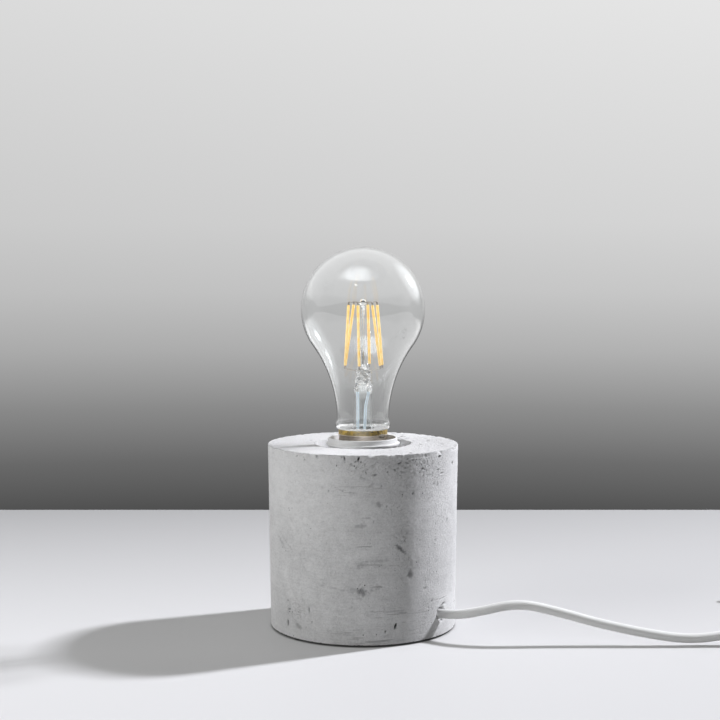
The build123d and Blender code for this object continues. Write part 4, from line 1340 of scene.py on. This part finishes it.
@dataclass
class LampHolder:
    """The white skirt of the lamp holder, with its rolled rim and its inside thread."""

    seam: float = 64.0
    rim: float = 103.0
    radius: float = 19.0
    inner: float = 17.6
    lip: float = 1.0
    lip_top: float = 100.4
    lip_low: float = 99.2
    rim_radius: float = 18.8
    mouth: float = 17.8
    mouth_floor: float = 97.0
    bore: float = 13.45
    thread_low: float = 72.0
    thread_outer: float = 15.05
    web_low: float = 95.2
    pitch: float = THREAD_PITCH
    thread_depth: float = 0.3
    steps: int = 128

    def outline(self) -> list[Corner]:
        """Closed outline of the skirt, with the edges eased.

        Returns:
            Corners as radius and height.
        """
        ease = 0.45
        return [
            (self.radius, self.seam),
            (self.radius, self.lip_low - self.lip),
            *arc((self.radius + self.lip - ease, self.lip_low + ease * 0.4), ease, -45, 0, 3),
            *arc((self.radius + self.lip - ease, self.lip_top - ease), ease, 0, 80, 4),
            (self.radius + 0.1, self.lip_top + 0.02),
            (self.radius - 0.05, self.lip_top + 0.25),
            *arc((self.rim_radius - ease, self.rim - ease), ease, 0, 90, 5),
            *arc((self.mouth + 0.25, self.rim - 0.25), 0.25, 90, 180, 3),
            *arc((self.mouth - 0.5, self.mouth_floor + 0.5), 0.5, 0, -90, 3),
            (self.bore + 0.6, self.mouth_floor),
            *run((self.bore, self.mouth_floor - 0.5), (self.bore, self.thread_low), 42),
            (self.bore, self.thread_low),
            (self.thread_outer, self.thread_low),
            (self.thread_outer, self.web_low),
            (self.inner, self.web_low),
            (self.inner, self.seam),
        ]

    def build(self) -> bpy.types.Object:
        """Builds the skirt.

        Returns:
            The finished piece.
        """
        shape = Shape()
        shape.turn(self.outline(), self.steps)

        def threaded(point: Vector) -> Vector:
            """Waves the bore out along the thread, and leaves the rest.

            Args:
                point: Point of the smooth skirt.

            Returns:
                Where it goes.
            """
            radius = math.hypot(point.x, point.y)
            inside = self.thread_low + 1.0 < point.z < self.mouth_floor - 0.6
            if radius > self.bore + 0.01 or not inside:
                return point
            return widened(point, (self.bore + self.thread_depth * thread_wave(point, self.pitch)) / radius)

        shape.move(threaded)
        piece = shape.finish("holder_ring", WHITE_SHELL)
        return settle(piece, Body.BASE, "white_plastic", "holder_skirt")


# Bulb


@dataclass
class Bulb:
    """The clear bulb: glass, cap, cement, stem, filaments and wires."""

    cap_top: float = 105.0
    crown: float = 206.6
    globe: float = 33.75
    neck: float = 14.3
    neck_height: float = 8.0
    wall: float = 0.12
    foot: float = 12.1
    foot_depth: float = 3.0
    cement_height: float = 2.7
    cement_collar: float = 13.4
    bead_bulge: float = 0.7
    bead_height: float = 4.0
    cap_radius: float = 13.1
    cap_wall: float = 0.4
    cap_nose: float = 11.4
    cap_nose_height: float = 2.4
    cap_low: float = 82.0
    cap_flare: float = 0.4
    cap_flare_height: float = 1.2
    plain_height: float = 4.5
    thread_pitch: float = THREAD_PITCH
    thread_depth: float = 0.55
    stem: float = 4.9
    stem_wall: float = 0.45
    flare_height: float = 7.0
    tube_top: float = 26.0
    pinch: float = 3.1
    pinch_top: float = 37.0
    rod: float = 0.8
    rod_bore: float = 0.62
    rod_top: float = 71.5
    bead: float = 1.9
    filaments: int = 6
    phase: float = 10.0
    turns: tuple[float, ...] = (-2.0, 0.0, 25.0, 15.0, 9.0, 21.0)
    filament: float = 0.77
    filament_top: float = 70.0
    filament_low: float = 37.4
    top_circle: float = 7.9
    low_circle: float = 10.6
    support: float = 0.2
    tab: float = 0.5
    tab_length: float = 1.8
    top_hub: float = 0.9
    low_hub: float = 1.6
    lead_top: float = 25.0
    floor_inner: float = 6.3
    floor_thick: float = 0.15
    sleeve: float = 0.78
    weld_angle: float = -41.0
    weld_size: Point = (0.5, 2.6, 1.0)
    lead: float = 0.35
    steps: int = 128
    left_lead: tuple[Point, ...] = ((-2.8, 0.0, 25.1), (-2.8, 0.0, -9.0))
    right_lead: tuple[Point, ...] = ((3.0, 0.0, 25.1), (3.0, 0.0, 21.0), (0.9, 0.0, 14.0), (0.9, 0.0, -9.0))
    bare_lead: float = 2.0

    def envelope(self, inset: float) -> list[Corner]:
        """Outline of the glass from its foot to its crown, moved in by an inset.

        Args:
            inset: How far in, in millimetres.

        Returns:
            Corners as radius and height.
        """
        centre = self.crown - self.globe
        neck_low = self.cap_top + self.neck_height
        bead_low = self.cap_top + self.cement_height
        rise = centre - neck_low
        sweep = (rise**2 + self.neck**2 - self.globe**2) / (2.0 * (self.globe - self.neck))
        lean = math.degrees(math.atan2(rise, self.neck + sweep))
        neck = self.neck - inset
        low = bead_low + 0.4 * inset
        return [
            (self.foot - inset, self.cap_top - self.foot_depth),
            *arc((self.foot - inset + 0.6, low), 0.6, 180, 100, 4),
            *self.bead_points(neck, low),
            *arc((self.neck + sweep, neck_low), sweep + inset, 180, 180 - lean, 26),
            *arc((0.0, centre), self.globe - inset, -lean, 90, 44)[1:],
        ]

    def bead_points(self, neck: float, low: float) -> list[Corner]:
        """Rounded bead where the neck was pressed on the cap's side.

        Args:
            neck: Radius of the neck.
            low: Height at which the bead starts.

        Returns:
            Points of the bead, upwards.
        """
        points = []
        for i in range(9):
            share = i / 8
            out = self.bead_bulge * math.sin(math.pi * share) ** 0.8
            points.append((neck + out - 0.6 * (1.0 - share) ** 4, low + self.bead_height * share))
        return points

    def build_glass(self) -> bpy.types.Object:
        """Builds the glass envelope as a thin wall with both faces.

        Returns:
            The finished piece.
        """
        shape = Shape()
        shape.turn([*self.envelope(0.0), *reversed(self.envelope(self.wall))], self.steps)
        piece = shape.finish("glass_envelope", BULB_GLASS, ROUND_EDGE)
        return settle(piece, Body.BULB, "clear_glass", "bulb_glass")

    def build_fringe(self) -> bpy.types.Object:
        """Builds the white fringe inside the glass's foot, where the cement has frosted it.

        Returns:
            The finished piece.
        """
        low = self.cap_top + self.cement_height + 0.1
        insets = (self.wall + 0.08, self.wall + 0.2)
        outer, inner = (self.bead_points(self.neck - inset, low)[:6] for inset in insets)
        shape = Shape()
        shape.turn([*outer, *reversed(inner)], self.steps)
        piece = shape.finish("frosted_fringe", FROSTED_FOOT)
        return settle(piece, Body.BULB, "clear_glass", "bulb_glass")

    def build_floor(self) -> bpy.types.Object:
        """Builds the frosted ring that closes the glass's foot round the stem's flare.

        Returns:
            The finished piece.
        """
        inner, outer = self.floor_inner, self.neck - self.wall - 1.0
        low = self.cap_top + self.cement_height + self.floor_thick
        high = low + self.floor_thick
        shape = Shape()
        shape.turn([(inner, low), (outer, low), (outer, high), (inner, high)], self.steps)
        piece = shape.finish("frosted_floor", FROSTED_FLOOR)
        return settle(piece, Body.BULB, "clear_glass", "bulb_glass")

    def build_cement(self) -> bpy.types.Object:
        """Builds the cement ring, uneven where it was squeezed out.

        Returns:
            The finished piece.
        """
        top = self.cap_top + self.cement_height
        low = self.cap_top - self.foot_depth
        inner = self.cap_radius - self.cap_wall
        shape = Shape()
        shape.turn(
            [(self.foot, low), (inner, low), (inner, self.cap_top), (self.cement_collar - 0.1, self.cap_top),
             *arc((self.cement_collar - 0.7, top - 0.7), 0.7, 0, 80, 4), (self.foot, top)],
            self.steps,
        )

        def squeezed(point: Vector) -> Vector:
            """Pushes the collar in and out a little.

            Args:
                point: Point of the even ring.

            Returns:
                Where it goes.
            """
            radius = math.hypot(point.x, point.y)
            if point.z <= self.cap_top or radius < self.foot + 0.4:
                return point
            lump = smooth_share(noise.fractal(point * 0.4, 0.8, 2.0, 3), -0.4, 0.6)
            return widened(point, 1.0 - 0.018 * lump)

        shape.move(squeezed)
        piece = shape.finish("cement_collar", CEMENT)
        return settle(piece, Body.BULB, "amber_cement", "bulb_cement")

    def build_cap(self) -> bpy.types.Object:
        """Builds the screw shell with its rolled thread and its collar.

        Returns:
            The finished piece.
        """
        nose = self.cap_low + self.cap_nose_height
        flare = self.cap_top - self.cap_flare_height
        shape = Shape()
        wall = self.cap_wall
        shape.turn(
            [
                (self.cap_nose, self.cap_low),
                *run((self.cap_radius, nose), (self.cap_radius, flare), 48),
                (self.cap_radius, flare),
                (self.cap_radius + self.cap_flare, self.cap_top - 0.15),
                (self.cap_radius + self.cap_flare - 0.15, self.cap_top),
                (self.cap_radius - wall, self.cap_top),
                *run((self.cap_radius - wall, flare), (self.cap_radius - wall, nose), 48),
                (self.cap_radius - wall, nose),
                (self.cap_nose - wall, self.cap_low),
            ],
            self.steps,
        )
        high = self.cap_top - self.plain_height

        def rolled(point: Vector) -> Vector:
            """Rolls the thread into the shell, fading out at both ends.

            Args:
                point: Point of the plain shell.

            Returns:
                Where it goes.
            """
            radius = math.hypot(point.x, point.y)
            wave = thread_wave(point, self.thread_pitch)
            fade = smooth_share(point.z, nose, nose + 2.0) * (1.0 - smooth_share(point.z, high - 2.0, high))
            return widened(point, (radius - self.thread_depth * wave * fade) / radius)

        shape.move(rolled)
        piece = shape.finish("screw_shell", NICKEL)
        return settle(piece, Body.BULB, "nickel", "bulb_cap")

    def build_weld(self) -> bpy.types.Object:
        """Builds the lumpy weld that joins a lead to the cap's rim.

        Returns:
            The finished piece.
        """
        shape = Shape()
        bmesh.ops.create_icosphere(shape.mesh, subdivisions=5, radius=1.0)
        tangent = Matrix.Rotation(math.radians(self.weld_angle), 4, "Z")
        middle = polar(self.cap_radius + self.cap_flare, self.weld_angle, self.cap_top - 0.4)
        radial, along, tall = self.weld_size

        def lumpy(point: Vector) -> Vector:
            """Draws the ball out along the rim, with lumps.

            Args:
                point: Point of the ball.

            Returns:
                Its place on the rim.
            """
            stretched = Vector((point.x, point.y * 3.0, point.z)) * 1.1
            lump = 1.0 + 0.45 * noise.fractal(stretched, 0.8, 2.0, 3)
            return middle + tangent @ Vector((point.x * radial, point.y * along, point.z * tall)) * lump

        shape.move(lumpy)
        piece = shape.finish("cap_weld", WELD, ROUND_EDGE)
        return settle(piece, Body.BULB, "nickel", "bulb_cap")

    def build_stem(self) -> bpy.types.Object:
        """Builds the glass stem: trumpet, tube, flattened pinch, rod and bead.

        Returns:
            The finished piece.
        """
        low = self.cap_top - self.foot_depth
        knee = self.cap_top + self.flare_height
        foot = self.foot - self.wall - 0.05
        tube_top = self.cap_top + self.tube_top
        pinch_top = self.cap_top + self.pinch_top
        bead = self.cap_top + self.rod_top

        def trumpet(inset: float) -> list[Corner]:
            """Arc of the trumpet, from its foot to its tube.

            Args:
                inset: How far in from the glass's outer face.

            Returns:
                Corners as radius and height.
            """
            spread, drop = foot - self.stem, knee - low
            radius = (spread**2 + drop**2) / (2.0 * spread)
            sweep = math.degrees(math.asin(drop / radius))
            return arc((self.stem + radius, knee), radius + inset, 180 + sweep, 180, 14)

        outer = [
            *trumpet(0.0),
            *chain(
                (self.stem, knee), ((self.stem, tube_top - 2.0), 8), ((self.stem - 1.0, tube_top + 1.5), 3),
                ((self.pinch, pinch_top - 2.0), 10), ((self.rod, pinch_top + 1.2), 4),
                ((self.rod, bead - self.bead), 4),
            )[1:],
            *arc((0.0, bead), self.bead, -52, 90, 8),
        ]
        inside = self.stem - self.stem_wall
        inner = [
            *trumpet(self.stem_wall),
            *chain((inside, knee), ((inside, tube_top - 1.5), 6), ((0.0, tube_top + 2.5), 8))[1:],
            (0.0, tube_top + 2.5),
        ]
        shape = Shape()
        shape.turn([*outer, *reversed(inner)], 64)
        bore, bore_low, bore_high = self.rod_bore, pinch_top + 3.0, bead - 2.5
        shape.hollow([(0.0, bore_low), (bore, bore_low), (bore, bore_high), (0.0, bore_high)], 32)

        def pinched(point: Vector) -> Vector:
            """Flattens the pinch front to back, and crumples it a little.

            Args:
                point: Point of the round stem.

            Returns:
                Where it goes.
            """
            share = smooth_share(point.z, tube_top - 4.0, tube_top + 2.5)
            share *= 1.0 - smooth_share(point.z, pinch_top - 1.0, pinch_top + 2.5)
            rough = 1.0 + 0.3 * share * noise.fractal(point * 0.7, 0.8, 2.0, 3)
            wide, flat = rough * (1.0 + 0.12 * share), rough * (1.0 - 0.42 * share)
            return Vector((point.x * wide, point.y * flat, point.z))

        shape.move(pinched)
        piece = shape.finish("glass_stem", STEM_GLASS, ROUND_EDGE)
        return settle(piece, Body.BULB, "stem_glass", "bulb_stem")

    def filament_ends(self, index: int) -> tuple[Vector, Vector]:
        """Lower and upper end of one filament, its foot turned a little round from its head.

        Args:
            index: Number of the filament.

        Returns:
            Its two ends.
        """
        angle = self.phase + 360.0 * index / self.filaments
        return (polar(self.low_circle, angle + self.turns[index], self.cap_top + self.filament_low),
                polar(self.top_circle, angle, self.cap_top + self.filament_top))

    def build_filaments(self) -> bpy.types.Object:
        """Builds the filament sticks, with eased ends.

        Returns:
            The finished piece.
        """
        shape = Shape()
        for index in range(self.filaments):
            shape.bar(*self.filament_ends(index), self.filament)
        piece = shape.finish("filament_sticks", PHOSPHOR, ROUND_EDGE)
        return settle(piece, Body.BULB, "amber_silicone", "led_filaments")

    def build_supports(self) -> bpy.types.Object:
        """Builds the wire frames at both ends of the filaments.

        Returns:
            The finished piece.
        """
        shape = Shape()
        high_hub = self.cap_top + self.rod_top
        low_hub = self.cap_top + (self.lead_top + 3.0 * self.pinch_top) / 4.0
        for index in range(self.filaments):
            low, high = self.filament_ends(index)
            axis = (high - low).normalized()
            side = 1.0 if high.x > 0.0 else -1.0
            ends = ((high, axis, self.top_hub, high_hub), (low, -axis, self.low_hub, low_hub))
            for end, outward, hub, hub_height in ends:
                tip = end + outward * self.tab_length
                shape.bar(end, tip, self.tab, 12)
                shape.bar(Vector((side * hub, 0.0, hub_height)), tip, self.support, 10)
        piece = shape.finish("filament_frames", WIRE, ROUND_EDGE)
        return settle(piece, Body.BULB, "support_wire", "top_supports", "bottom_supports")

    def wire(self, name: str, path: Iterable[Point], radius: float, finish: Finish) -> bpy.types.Object:
        """Builds a round wire along a smooth line.

        Args:
            name: Name of the piece.
            path: Points of the line, above the cap's rim.
            radius: Radius of the wire.
            finish: Its finish.

        Returns:
            The wire as a mesh piece.
        """
        points = [(x, y, z + self.cap_top) for x, y, z in path]
        curve = smooth_line(name, points, radius)
        data = evaluated_mesh(curve)
        bpy.data.objects.remove(curve)
        data.materials.clear()
        data.materials.append(finish.material())
        return link(name, data)

    def build_leads(self) -> list[bpy.types.Object]:
        """Builds the two leads and their sleeves.

        Returns:
            The finished pieces.
        """
        made = []
        for name, path in (("left", self.left_lead), ("right", self.right_lead)):
            bare = self.wire(f"lead_{name}", path, self.lead, WIRE)
            x, y, z = path[0]
            inner = ((x, y, z - self.bare_lead), *path[1:])
            covered = self.wire(f"sleeve_{name}", inner, self.sleeve, SLEEVE)
            made.append(settle(bare, Body.BULB, "support_wire", "lead_wires"))
            made.append(settle(covered, Body.BULB, "sleeve_blue", "lead_sleeves"))
        return made

    def build(self) -> list[bpy.types.Object]:
        """Builds the whole bulb.

        Returns:
            Its pieces.
        """
        return [
            self.build_glass(),
            self.build_fringe(),
            self.build_floor(),
            self.build_cement(),
            self.build_cap(),
            self.build_weld(),
            self.build_stem(),
            self.build_filaments(),
            self.build_supports(),
            *self.build_leads(),
        ]


# Flex


def smooth_line(name: str, points: Iterable[Point], radius: float) -> bpy.types.Object:
    """Makes a round curve along points in millimetres.

    Args:
        name: Name of the curve.
        points: Control points of its line.
        radius: Radius of its section.

    Returns:
        The curve's object, linked to the scene.
    """
    places = list(points)
    data = bpy.data.curves.new(name, "CURVE")
    data.dimensions = "3D"
    data.bevel_depth = radius * MM
    data.bevel_resolution = 4
    data.use_fill_caps = True
    data.resolution_u = 8
    data.render_resolution_u = 8
    spline = data.splines.new("NURBS")
    spline.points.add(len(places) - 1)
    for point, place in zip(spline.points, places):
        point.co = (*(x * MM for x in place), 1.0)
    spline.order_u = min(3, len(places))
    spline.use_endpoint_u = True
    return link(name, data)


@dataclass
class Flex:
    """The white flex, from the hole through the switch to its coil and its plug."""

    radius: float = 2.5
    length: float = 1800.0
    azimuth: float = CORD_AZIMUTH
    height: float = CORD_HEIGHT
    exit: float = 51.0
    inside: tuple[float, ...] = (47.0, 57.0)
    lead: tuple[Point, ...] = (
        (59.0, -38.8, 15.6), (80.5, -40.0, 21.1), (101.0, -41.0, 16.7), (122.0, -43.0, 11.0),
        (146.0, -45.5, 6.4), (166.0, -46.4, 3.6), (182.0, -45.6, 4.4), (197.0, -44.0, 7.5),
        (210.0, -44.0, 7.5), (236.0, -44.0, 7.5), (262.0, -44.0, 7.5), (276.0, -44.0, 7.5),
        (300.0, -41.75, 3.5), (317.0, -41.75, 3.5),
    )
    tail: tuple[Point, ...] = (
        (317.0, 41.75, 9.0), (309.0, 41.75, 9.0), (300.0, 41.75, 6.85), (290.0, 41.75, 6.85),
    )
    coil_centre: Corner = (322.0, 0.0)
    coil_inner: float = 21.5
    coil_step: float = 2.75
    coil_reversal: float = 1.0
    coil_half_turns: int = 7
    coil_low: float = 3.5
    coil_rise: float = 5.5
    points_per_half_turn: int = 8
    fittings: tuple[str, ...] = (
        "switch_base", "switch_cover", "switch_rocker", "rocker_pin", "switch_terminals", "switch_blade",
        "switch_wires", "switch_screws", "cord_tie", "plug_body", "plug_pins", "pin_sleeves",
    )

    def on_axis(self, distance: float) -> Point:
        """Point on the hole's axis, at a distance from the lamp's."""
        return tuple(polar(distance, self.azimuth, self.height))

    def stations(self) -> list[Vector]:
        """Ends of the coil's half turns, in order: in, up and out again.

        Returns:
            The ends, in millimetres.
        """
        grown = range(1, self.coil_half_turns + 1)
        radii = [self.coil_inner, *(self.coil_inner + self.coil_reversal + i * self.coil_step for i in grown)]
        layers = [(r, self.coil_low) for r in reversed(radii)]
        layers += [(r, self.coil_low + self.coil_rise) for r in radii]
        x, y = self.coil_centre
        return [Vector((x, y + (r if i % 2 else -r), z)) for i, (r, z) in enumerate(layers)]

    def coil(self) -> list[Point]:
        """Control points of the coil's turns.

        Returns:
            The points, in millimetres.
        """
        stations = self.stations()
        spread = 1.0 / math.cos(math.pi / (2 * self.points_per_half_turn))
        points = []
        for i, (start, end) in enumerate(zip(stations, stations[1:])):
            centre = (start + end) / 2
            sideways = Vector(((end - start).length / 2 * (1 if i % 2 == 0 else -1), 0.0, 0.0))
            for k in range(self.points_per_half_turn):
                turn = math.pi * (k + 0.5) / self.points_per_half_turn
                away = (start - centre) * math.cos(turn) + sideways * math.sin(turn)
                points.append(tuple(centre + away * spread))
        return points

    def build(self) -> bpy.types.Object:
        """Builds the flex as one smooth cord.

        Returns:
            The finished cord.
        """
        route = [*(self.on_axis(d) for d in self.inside), *self.lead, *self.coil(), *self.tail]
        cord = smooth_line("flex_cord", route, self.radius)
        cord.data.materials.append(FLEX.material())
        settle(cord, Body.BASE, "cord_pvc", "cord_lead", "cord_link", "cord_coil", "cord_tail")
        tuple(x * MM for x in self.on_axis(self.exit))
        list(self.fittings)
        return cord


# Studio


@dataclass
class Panel:
    """A soft lamp: where it is, where it points, its size and its power."""

    name: str
    place: Point
    target: Point
    size: Corner
    power: float
    colour: Colour = (1.0, 1.0, 1.0)

    def build(self) -> bpy.types.Object:
        """Builds the lamp, which glass and metal don't mirror.

        Returns:
            The lamp's object.
        """
        data = bpy.data.lights.new(self.name, "AREA")
        data.shape = "RECTANGLE"
        data.size, data.size_y = self.size
        data.energy = self.power
        data.color = self.colour
        lamp = link(self.name, data)
        aim = Vector(self.target) - Vector(self.place)
        lamp.location = self.place
        lamp.rotation_mode = "QUATERNION"
        lamp.rotation_quaternion = aim.to_track_quat("-Z", "Y")
        lamp.visible_glossy = False
        lamp.visible_transmission = False
        return lamp


@dataclass(frozen=True)
class Glow:
    """A soft light in the room that glass and metal mirror.

    Its direction, the angles in degrees at which it starts and ends its fall, its strength, the
    height of its straight lower edge, and its tint.
    """

    direction: Point
    inner: float
    outer: float
    strength: float
    low: float = -1.0
    tint: Colour = (0.93, 0.97, 1.0)


@dataclass
class Studio:
    """Table, grey wall, lamps and camera."""

    camera_place: Point = (-0.0016, -0.7517, 0.1952)
    camera_tilt: float = 86.19
    lens: float = 69.25
    sensor: float = 36.0
    clip: Corner = (0.01, 50.0)
    table_back: float = 0.357
    table_front: float = -2.0
    table_half: float = 2.5
    table_thick: float = 0.02
    wall_low: float = -0.175
    wall_high: float = 0.2
    wall_tones: tuple[tuple[float, float], ...] = (
        (0.0, 0.075), (0.10, 0.147), (0.20, 0.262), (0.31, 0.425), (0.42, 0.545),
        (0.55, 0.628), (0.95, 0.745),
    )
    wall_slope: float = 0.22
    wall_reach: Corner = (0.74, 0.93)
    flank_reach: Corner = (-0.35, 0.1)
    rear_tones: tuple[tuple[float, float], ...] = ((0.5, 0.20), (0.65, 0.22), (0.70, 0.80), (0.95, 1.1))
    flank_tones: tuple[tuple[float, float], ...] = (
        (0.40, 1.5), (0.43, 0.42), (0.58, 0.45), (0.64, 0.88), (0.95, 1.1),
    )
    glows: tuple[Glow, ...] = (
        Glow((-0.193, -0.404, 0.892), 4.0, 28.0, 3.8, 0.79),
        Glow((-0.46, -0.37, 0.807), 4.0, 24.0, 1.0, 0.74),
        Glow((0.10, -0.42, 0.902), 4.0, 24.0, 1.2, 0.79),
        Glow((-0.208, -0.663, 0.719), 0.5, 3.0, 8.0),
        Glow((0.757, 0.493, 0.43), 0.5, 7.0, 5.5),
        Glow((0.757, 0.493, 0.43), 5.0, 25.0, 1.6),
    )
    glow_edge: float = 0.04
    ambient: Colour = (0.10, 0.10, 0.101)
    key_direction: Point = (0.6884, 0.3094, 0.6561)
    key_distance: float = 2.4
    key_size: Corner = (0.12, 0.26)
    key_power: float = 91.0
    key_colour: Colour = (0.94, 0.945, 1.0)
    target: Point = (0.0, 0.0, 0.08)

    def build_camera(self) -> None:
        """Builds the camera."""
        data = bpy.data.cameras.new("camera")
        data.lens, data.sensor_width = self.lens, self.sensor
        data.clip_start, data.clip_end = self.clip
        camera = link("camera", data)
        camera.location = self.camera_place
        camera.rotation_euler = (math.radians(self.camera_tilt), 0.0, 0.0)
        bpy.context.scene.camera = camera

    def build_table(self) -> None:
        """Builds the table top, which ends at its back edge."""
        mesh = bmesh.new()
        middle = (self.table_front + self.table_back) / 2
        size = (2 * self.table_half, self.table_back - self.table_front, self.table_thick, 1.0)
        place = Matrix.Translation((0.0, middle, -self.table_thick / 2)) @ Matrix.Diagonal(size)
        bmesh.ops.create_cube(mesh, size=1.0, matrix=place)
        data = bpy.data.meshes.new("table")
        mesh.to_mesh(data)
        mesh.free()
        data.materials.append(TableTop().material())
        link("table", data)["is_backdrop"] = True

    @staticmethod
    def ramp(graph: Graph, tones: tuple[tuple[float, float], ...], share: Value) -> Value:
        """Ramp of greys.

        Args:
            graph: Graph to draw in.
            tones: Places from 0 to 1, each with its tone.
            share: Place to read.

        Returns:
            The grey there.
        """
        stops = [(place, (tone, tone, tone)) for place, tone in tones]
        return graph.add("ShaderNodeValToRGB", {"stops": stops}, {"Fac": share})["Color"]

    def build_world(self) -> None:
        """Builds the grey wall and the glows that mirrors see, and an even light for the rest."""
        world = bpy.data.worlds.new("studio")
        world.use_nodes = True
        bpy.context.scene.world = world
        graph = Graph(world.node_tree)
        where = graph.add("ShaderNodeTexCoord")["Generated"]
        right, ahead, height = (graph.axis(letter, where) for letter in "XYZ")
        wall = self.ramp(graph, self.wall_tones, height.between(self.wall_low, self.wall_high, Fade.EVEN))
        wall = graph.vectors("MULTIPLY", wall, 1.0 + right * self.wall_slope)
        aside = 1.0 - ahead.between(*self.wall_reach)
        level = height * 0.5 + 0.5
        rear, flanks = (self.ramp(graph, tones, level) for tones in (self.rear_tones, self.flank_tones))
        wall = graph.mix(aside, wall, graph.mix(ahead.between(*self.flank_reach), rear, flanks))
        for glow in self.glows:
            near = graph.vectors("DOT_PRODUCT", where, glow.direction, output="Value")
            soft = near.between(*(math.cos(math.radians(angle)) for angle in (glow.outer, glow.inner)))
            light = soft * height.between(glow.low, glow.low + self.glow_edge) * glow.strength
            wall = graph.vectors("MULTIPLY_ADD", light, glow.tint, wall)
        path = graph.add("ShaderNodeLightPath")
        seen = path["Is Camera Ray"].most(path["Is Glossy Ray"]).most(path["Is Transmission Ray"])
        even, shown = (graph.add("ShaderNodeBackground", None, {"Color": colour})["Background"]
                       for colour in (self.ambient, wall))
        graph.output(graph.blend(seen, even, shown), "ShaderNodeOutputWorld")

    def build_lamps(self) -> None:
        """Builds the key from the right and the soft panels."""
        key = tuple(t + d * self.key_distance for t, d in zip(self.target, self.key_direction))
        panels = [
            Panel("key", key, self.target, self.key_size, self.key_power, self.key_colour),
            Panel("left_fill", (-1.75, -0.76, 0.80), self.target, (1.0, 0.9), 20.0),
            Panel("overhead", (0.05, -0.1, 1.5), self.target, (0.8, 0.6), 1.2),
        ]
        for panel in panels:
            panel.build()
            LOG.info("lamp %s", panel.name)

    def build(self) -> None:
        """Builds the whole studio."""
        self.build_camera()
        self.build_table()
        self.build_world()
        self.build_lamps()
        bpy.context.scene.view_settings.view_transform = "Standard"


def dress_nodes() -> None:
    """Gives each node that stays its finish, with its round faces smooth."""
    for finish, name in ((finish, name) for finish, names in FINISHED_NODES.items() for name in names):
        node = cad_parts[name]
        node.data.materials.clear()
        node.data.materials.append(finish.material())
        node.data.polygons.foreach_set("use_smooth", [True] * len(node.data.polygons))
        weld = node.modifiers.new("weld", "WELD")
        weld.merge_threshold = WELD_REACH
        split = node.modifiers.new("sharp_edges", "EDGE_SPLIT")
        split.split_angle = math.radians(SHARP_EDGE)
        LOG.info("node %s is %s", name, finish.name)


def corners(box: tuple[Vector, Vector]) -> list[list[float]]:
    """Box as plain lists of numbers."""
    return [list(corner) for corner in box]


def main() -> None:
    """Builds the lamp and its studio."""
    logging.basicConfig(level=logging.INFO, format="%(message)s")
    solids = corners(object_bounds())
    Studio().build()
    Flex().build()
    ConcreteBase().build()
    LampHolder().build()
    Bulb().build()
    dress_nodes()
    {"solids": solids, "looks": corners(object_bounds())}


if __name__ == "__main__":
    main()
